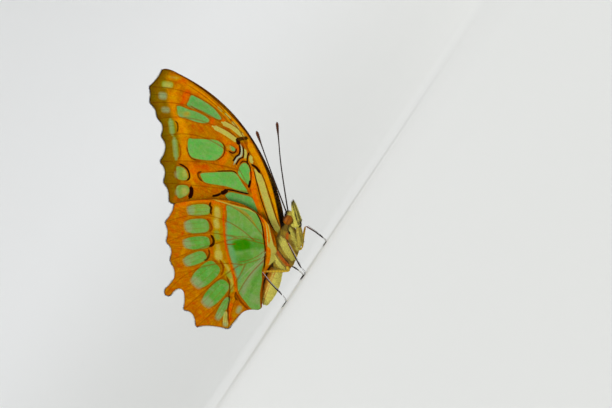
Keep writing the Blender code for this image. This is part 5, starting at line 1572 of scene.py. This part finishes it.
class BUTTERFLY_OT_legs(bpy.types.Operator):
    """Make the four walking legs and the two folded forelegs."""

    bl_idname = "butterfly.legs"
    bl_label = "Legs"

    def execute(self, context):
        colours = palette()
        draw = np.random.default_rng(context.scene.butterfly_body.seed + 2)
        finish = horn_finish("leg", 0.8, 9)
        hair = coat_finish("leg_hair")
        for name, path in LEG_PATHS.items():
            self.walking_leg(name, [np.array(point) for point in path], finish, colours, draw)
        for side, hand in ((1, "left"), (-1, "right")):
            self.foreleg(side, hand, finish, hair, colours, draw)
        return {"FINISHED"}

    def walking_leg(self, name, path, finish, colours, draw):
        """Hip, thigh, shin, five short foot joints, claws and rows of spines."""
        rust, soot, ink, straw, amber = (colours[key] for key in ("rust", "soot", "ink", "straw", "amber"))
        work = new_form()

        def limb(points, radii, tints, rows, blunt=8.0):
            sweep(work, tapered(points, radii), tints, rows, 14, blunt)

        limb(path[:2], (0.42, 0.3), (straw, straw), 14, 4.0)
        limb(path[1:4], (0.24, 0.27, 0.2), (straw, straw, amber), 34)
        limb((path[3] + (path[4] - path[3]) * 0.3, path[5], path[6], path[6] + (path[7] - path[6]) * 0.35),
             (0.2, 0.2, 0.18, 0.16), (rust, ink, ink), 34)
        foot = smooth_run(path[6:], 20)
        foot[:, 2] = np.maximum(foot[:, 2], SOLE)
        steps = run_lengths(foot)
        edges = (0.3 * np.linalg.norm(path[7] - path[6]), *np.array(FOOT_JOINTS) * steps[-1])
        for start, end in zip(edges, edges[1:]):
            stations = np.linspace(start - 0.05, end + 0.03, 4)
            limb(sampled(stations, steps, foot), FOOT_RADII, (soot, soot, ink), 12, 4.0)
        ahead = foot[-1] - foot[-3]
        ahead /= np.linalg.norm(ahead)
        across = np.cross(ahead, (0.0, 0.0, 1.0))
        for side in (-1, 1):
            base = foot[-1] + across * side * 0.05
            claw = (base, base + ahead * 0.2 + across * side * 0.12 + (0, 0, 0.05),
                    base + ahead * 0.34 + across * side * 0.14 - (0, 0, 0.1))
            limb(claw, (0.055, 0.045, 0.012), (ink, ink, ink), 10)
        self.spines(work, path, foot, ink, draw)
        place_form(f"{name}_limb", work, finish, name)

    def spines(self, work, path, foot, tint, draw):
        """Short stout spines down the shin and foot."""
        layer = work.verts.layers.float_color["tint"]
        shin = smooth_run(path[4:7], 14)
        for line_points, radius, length_there in ((shin, 0.17, 0.34), (foot[8:], 0.1, 0.2)):
            ahead = np.gradient(line_points, axis=0)
            for index in range(1, len(line_points) - 1, 2):
                forward = Vector(ahead[index]).normalized()
                for turn in SPINE_TURNS:
                    around = forward.orthogonal().normalized()
                    around.rotate(Matrix.Rotation(turn + draw.uniform(-0.3, 0.3), 3, forward))
                    point_way = (around * 0.75 + forward * 0.7).normalized()
                    size = length_there * draw.uniform(0.7, 1.1)
                    middle = Vector(line_points[index]) + around * radius * 0.8 + point_way * size / 2
                    if middle.z < 0.12:
                        continue
                    aimed = point_way.to_track_quat("Z", "Y").to_matrix().to_4x4()
                    made = bmesh.ops.create_cone(work, cap_ends=True, segments=5, radius1=0.03, radius2=0.004,
                                                 depth=size, matrix=Matrix.Translation(middle) @ aimed)
                    for vert in made["verts"]:
                        vert[layer] = (*tint, 1.0)

    def foreleg(self, side, hand, finish, hair, colours, draw):
        """Small brush foreleg folded under the head."""
        ivory, straw, rust = (colours[key] for key in ("ivory", "straw", "rust"))
        work = new_form()
        sweep(work, tapered(FORELEG_PATH, FORELEG_RADII, side), (ivory, ivory, straw), 44, 16, 12.0)
        skin = finished_form(f"foreleg_limb_{hand}", work)
        roots, normals, unwrap, lies, _ = limb_roots(skin, FORELEG_PATH, side, FORELEG_TUFTS, 0.12, draw)
        under = np.clip(np.abs(normals[:, 2]) * 2.2 - 1.1, 0.0, 0.85)[:, None]
        tints = blended(blended(ivory, straw, 0.4), rust, under) * draw.uniform(0.75, 1.2, (len(roots), 1))
        mesh = tuft_mesh(f"foreleg_fur_{hand}", roots, normals, lies, draw.uniform(0.3, 0.6, len(roots)),
                         0.035 * draw.uniform(0.7, 1.2, len(roots)), draw.uniform(0.05, 0.3, len(roots)),
                         tints, unwrap)
        place_piece(mesh.name, mesh, (hair,))
        in_row_frame(skin)
        place_piece(skin.name, skin, (finish,), (f"foreleg_{hand}",))


class BUTTERFLY_OT_stage(bpy.types.Operator):
    """Set the pale floor, the softboxes and the camera."""

    bl_idname = "butterfly.stage"
    bl_label = "Stage"

    def execute(self, context):
        settings = context.scene.butterfly_stage
        self.sweep_floor(settings)
        self.softbox("key_light", (-0.2, -0.6, 0.5), settings.key)
        self.softbox("back_light", (0.2, 0.6, 0.5), settings.back)
        world = context.scene.world or bpy.data.worlds.new("studio")
        context.scene.world = world
        world.use_nodes = True
        background = world.node_tree.nodes["Background"]
        background.inputs["Color"].default_value = (0.95, 0.97, 1.0, 1.0)
        background.inputs["Strength"].default_value = settings.sky
        context.scene.view_settings.view_transform = "Standard"
        self.camera(context)
        return {"FINISHED"}

    def sweep_floor(self, settings):
        """Round floor that curves up into a wall on every side."""
        profile = [(0.0, 0.0), (FLOOR_RADIUS, 0.0)]
        profile += [(FLOOR_RADIUS + FLOOR_BEND * math.sin(angle), FLOOR_BEND * (1.0 - math.cos(angle)))
                    for angle in np.linspace(0.0, math.pi / 2, BEND_STEPS + 1)[1:]]
        profile.append((FLOOR_RADIUS + FLOOR_BEND, WALL_TOP))
        work = bmesh.new()
        verts = [work.verts.new((reach_there, 0.0, height)) for reach_there, height in profile]
        edges = [work.edges.new(pair) for pair in zip(verts, verts[1:])]
        bmesh.ops.spin(work, geom=verts + edges, cent=(0, 0, 0), axis=(0, 0, 1), angle=math.tau, steps=96,
                       use_merge=True)
        bmesh.ops.remove_doubles(work, verts=work.verts, dist=1e-5)
        bmesh.ops.recalc_face_normals(work, faces=work.faces)
        bmesh.ops.reverse_faces(work, faces=work.faces)
        mesh = bpy.data.meshes.new("floor")
        work.to_mesh(mesh)
        work.free()
        mesh.shade_smooth()
        finish = Finish("floor", 0.9)
        place = finish.place()
        height = finish.add("ShaderNodeSeparateXYZ", {"Vector": place}).outputs[2]
        paper = finish.mix(finish.noise(place, 0.01), tuple(settings.floor),
                           tuple(channel * 0.97 for channel in settings.floor))
        paper = finish.mix(finish.ramp(height, 0.0, 200.0, 0.0, 1.0), paper, (0.92, 0.92, 0.91))
        mesh.materials.append(finish.dress(paper))
        floor = bpy.data.objects.new("floor", mesh)
        bpy.context.scene.collection.objects.link(floor)

    def softbox(self, name, place, power):
        """Square area light that faces the insect and isn't seen itself."""
        light = bpy.data.lights.new(name, "AREA")
        light.size = SOFTBOX_WIDTH
        light.energy = power
        lamp = bpy.data.objects.new(name, light)
        lamp.location = place
        lamp.rotation_mode = "QUATERNION"
        lamp.rotation_quaternion = (Vector(SOFTBOX_AIM) - Vector(place)).to_track_quat("-Z", "Y")
        lamp.visible_camera = False
        bpy.context.scene.collection.objects.link(lamp)

    def camera(self, context):
        """Camera beside the insect, rolled as the picture is."""
        sine, cosine = math.sin(CAMERA_TURN), math.cos(CAMERA_TURN)
        back = Vector((sine * math.cos(CAMERA_TILT), -cosine * math.cos(CAMERA_TILT), math.sin(CAMERA_TILT)))
        level = Vector((cosine, sine, 0.0))
        upright = back.cross(level)
        right = math.cos(CAMERA_ROLL) * level - math.sin(CAMERA_ROLL) * upright
        up = math.sin(CAMERA_ROLL) * level + math.cos(CAMERA_ROLL) * upright
        lens = bpy.data.cameras.new("camera")
        lens.lens = CAMERA_LENS
        lens.clip_start = 0.01
        lens.clip_end = 10.0
        camera = bpy.data.objects.new("camera", lens)
        place = (Vector(AIM) + back * CAMERA_DISTANCE + Vector(SHIFT)) * MM
        camera.matrix_world = Matrix.Translation(place) @ Matrix((right, up, back)).transposed().to_4x4()
        context.scene.collection.objects.link(camera)
        context.scene.camera = camera


class BUTTERFLY_PT_sidebar(bpy.types.Panel):
    """Settings and steps of the butterfly."""

    bl_label = "Malachite butterfly"
    bl_idname = "BUTTERFLY_PT_sidebar"
    bl_space_type = "VIEW_3D"
    bl_region_type = "UI"
    bl_category = "Butterfly"

    def draw(self, context):
        for name, group in SETTINGS.items():
            box = self.layout.box()
            for setting in group.__annotations__:
                box.prop(getattr(context.scene, name), setting)
        for step in STEPS:
            self.layout.operator(step.bl_idname)


SETTINGS = {
    "butterfly_colours": BUTTERFLY_PG_colours,
    "butterfly_wings": BUTTERFLY_PG_wings,
    "butterfly_body": BUTTERFLY_PG_body,
    "butterfly_stage": BUTTERFLY_PG_stage,
}
STEPS = (BUTTERFLY_OT_wings, BUTTERFLY_OT_body, BUTTERFLY_OT_head, BUTTERFLY_OT_legs, BUTTERFLY_OT_stage)
CLASSES = (*SETTINGS.values(), *STEPS, BUTTERFLY_PT_sidebar)


def register():
    """Add the settings, the steps and the panel."""
    for group in CLASSES:
        bpy.utils.register_class(group)
    for name, group in SETTINGS.items():
        setattr(bpy.types.Scene, name, PointerProperty(type=group))


def unregister():
    """Take them away again."""
    for name in SETTINGS:
        delattr(bpy.types.Scene, name)
    for group in reversed(CLASSES):
        bpy.utils.unregister_class(group)


def main():
    """Make every piece."""
    register()
    for step in STEPS:
        getattr(bpy.ops.butterfly, step.bl_idname.split(".")[1])()


if __name__ == "__main__":
    main()
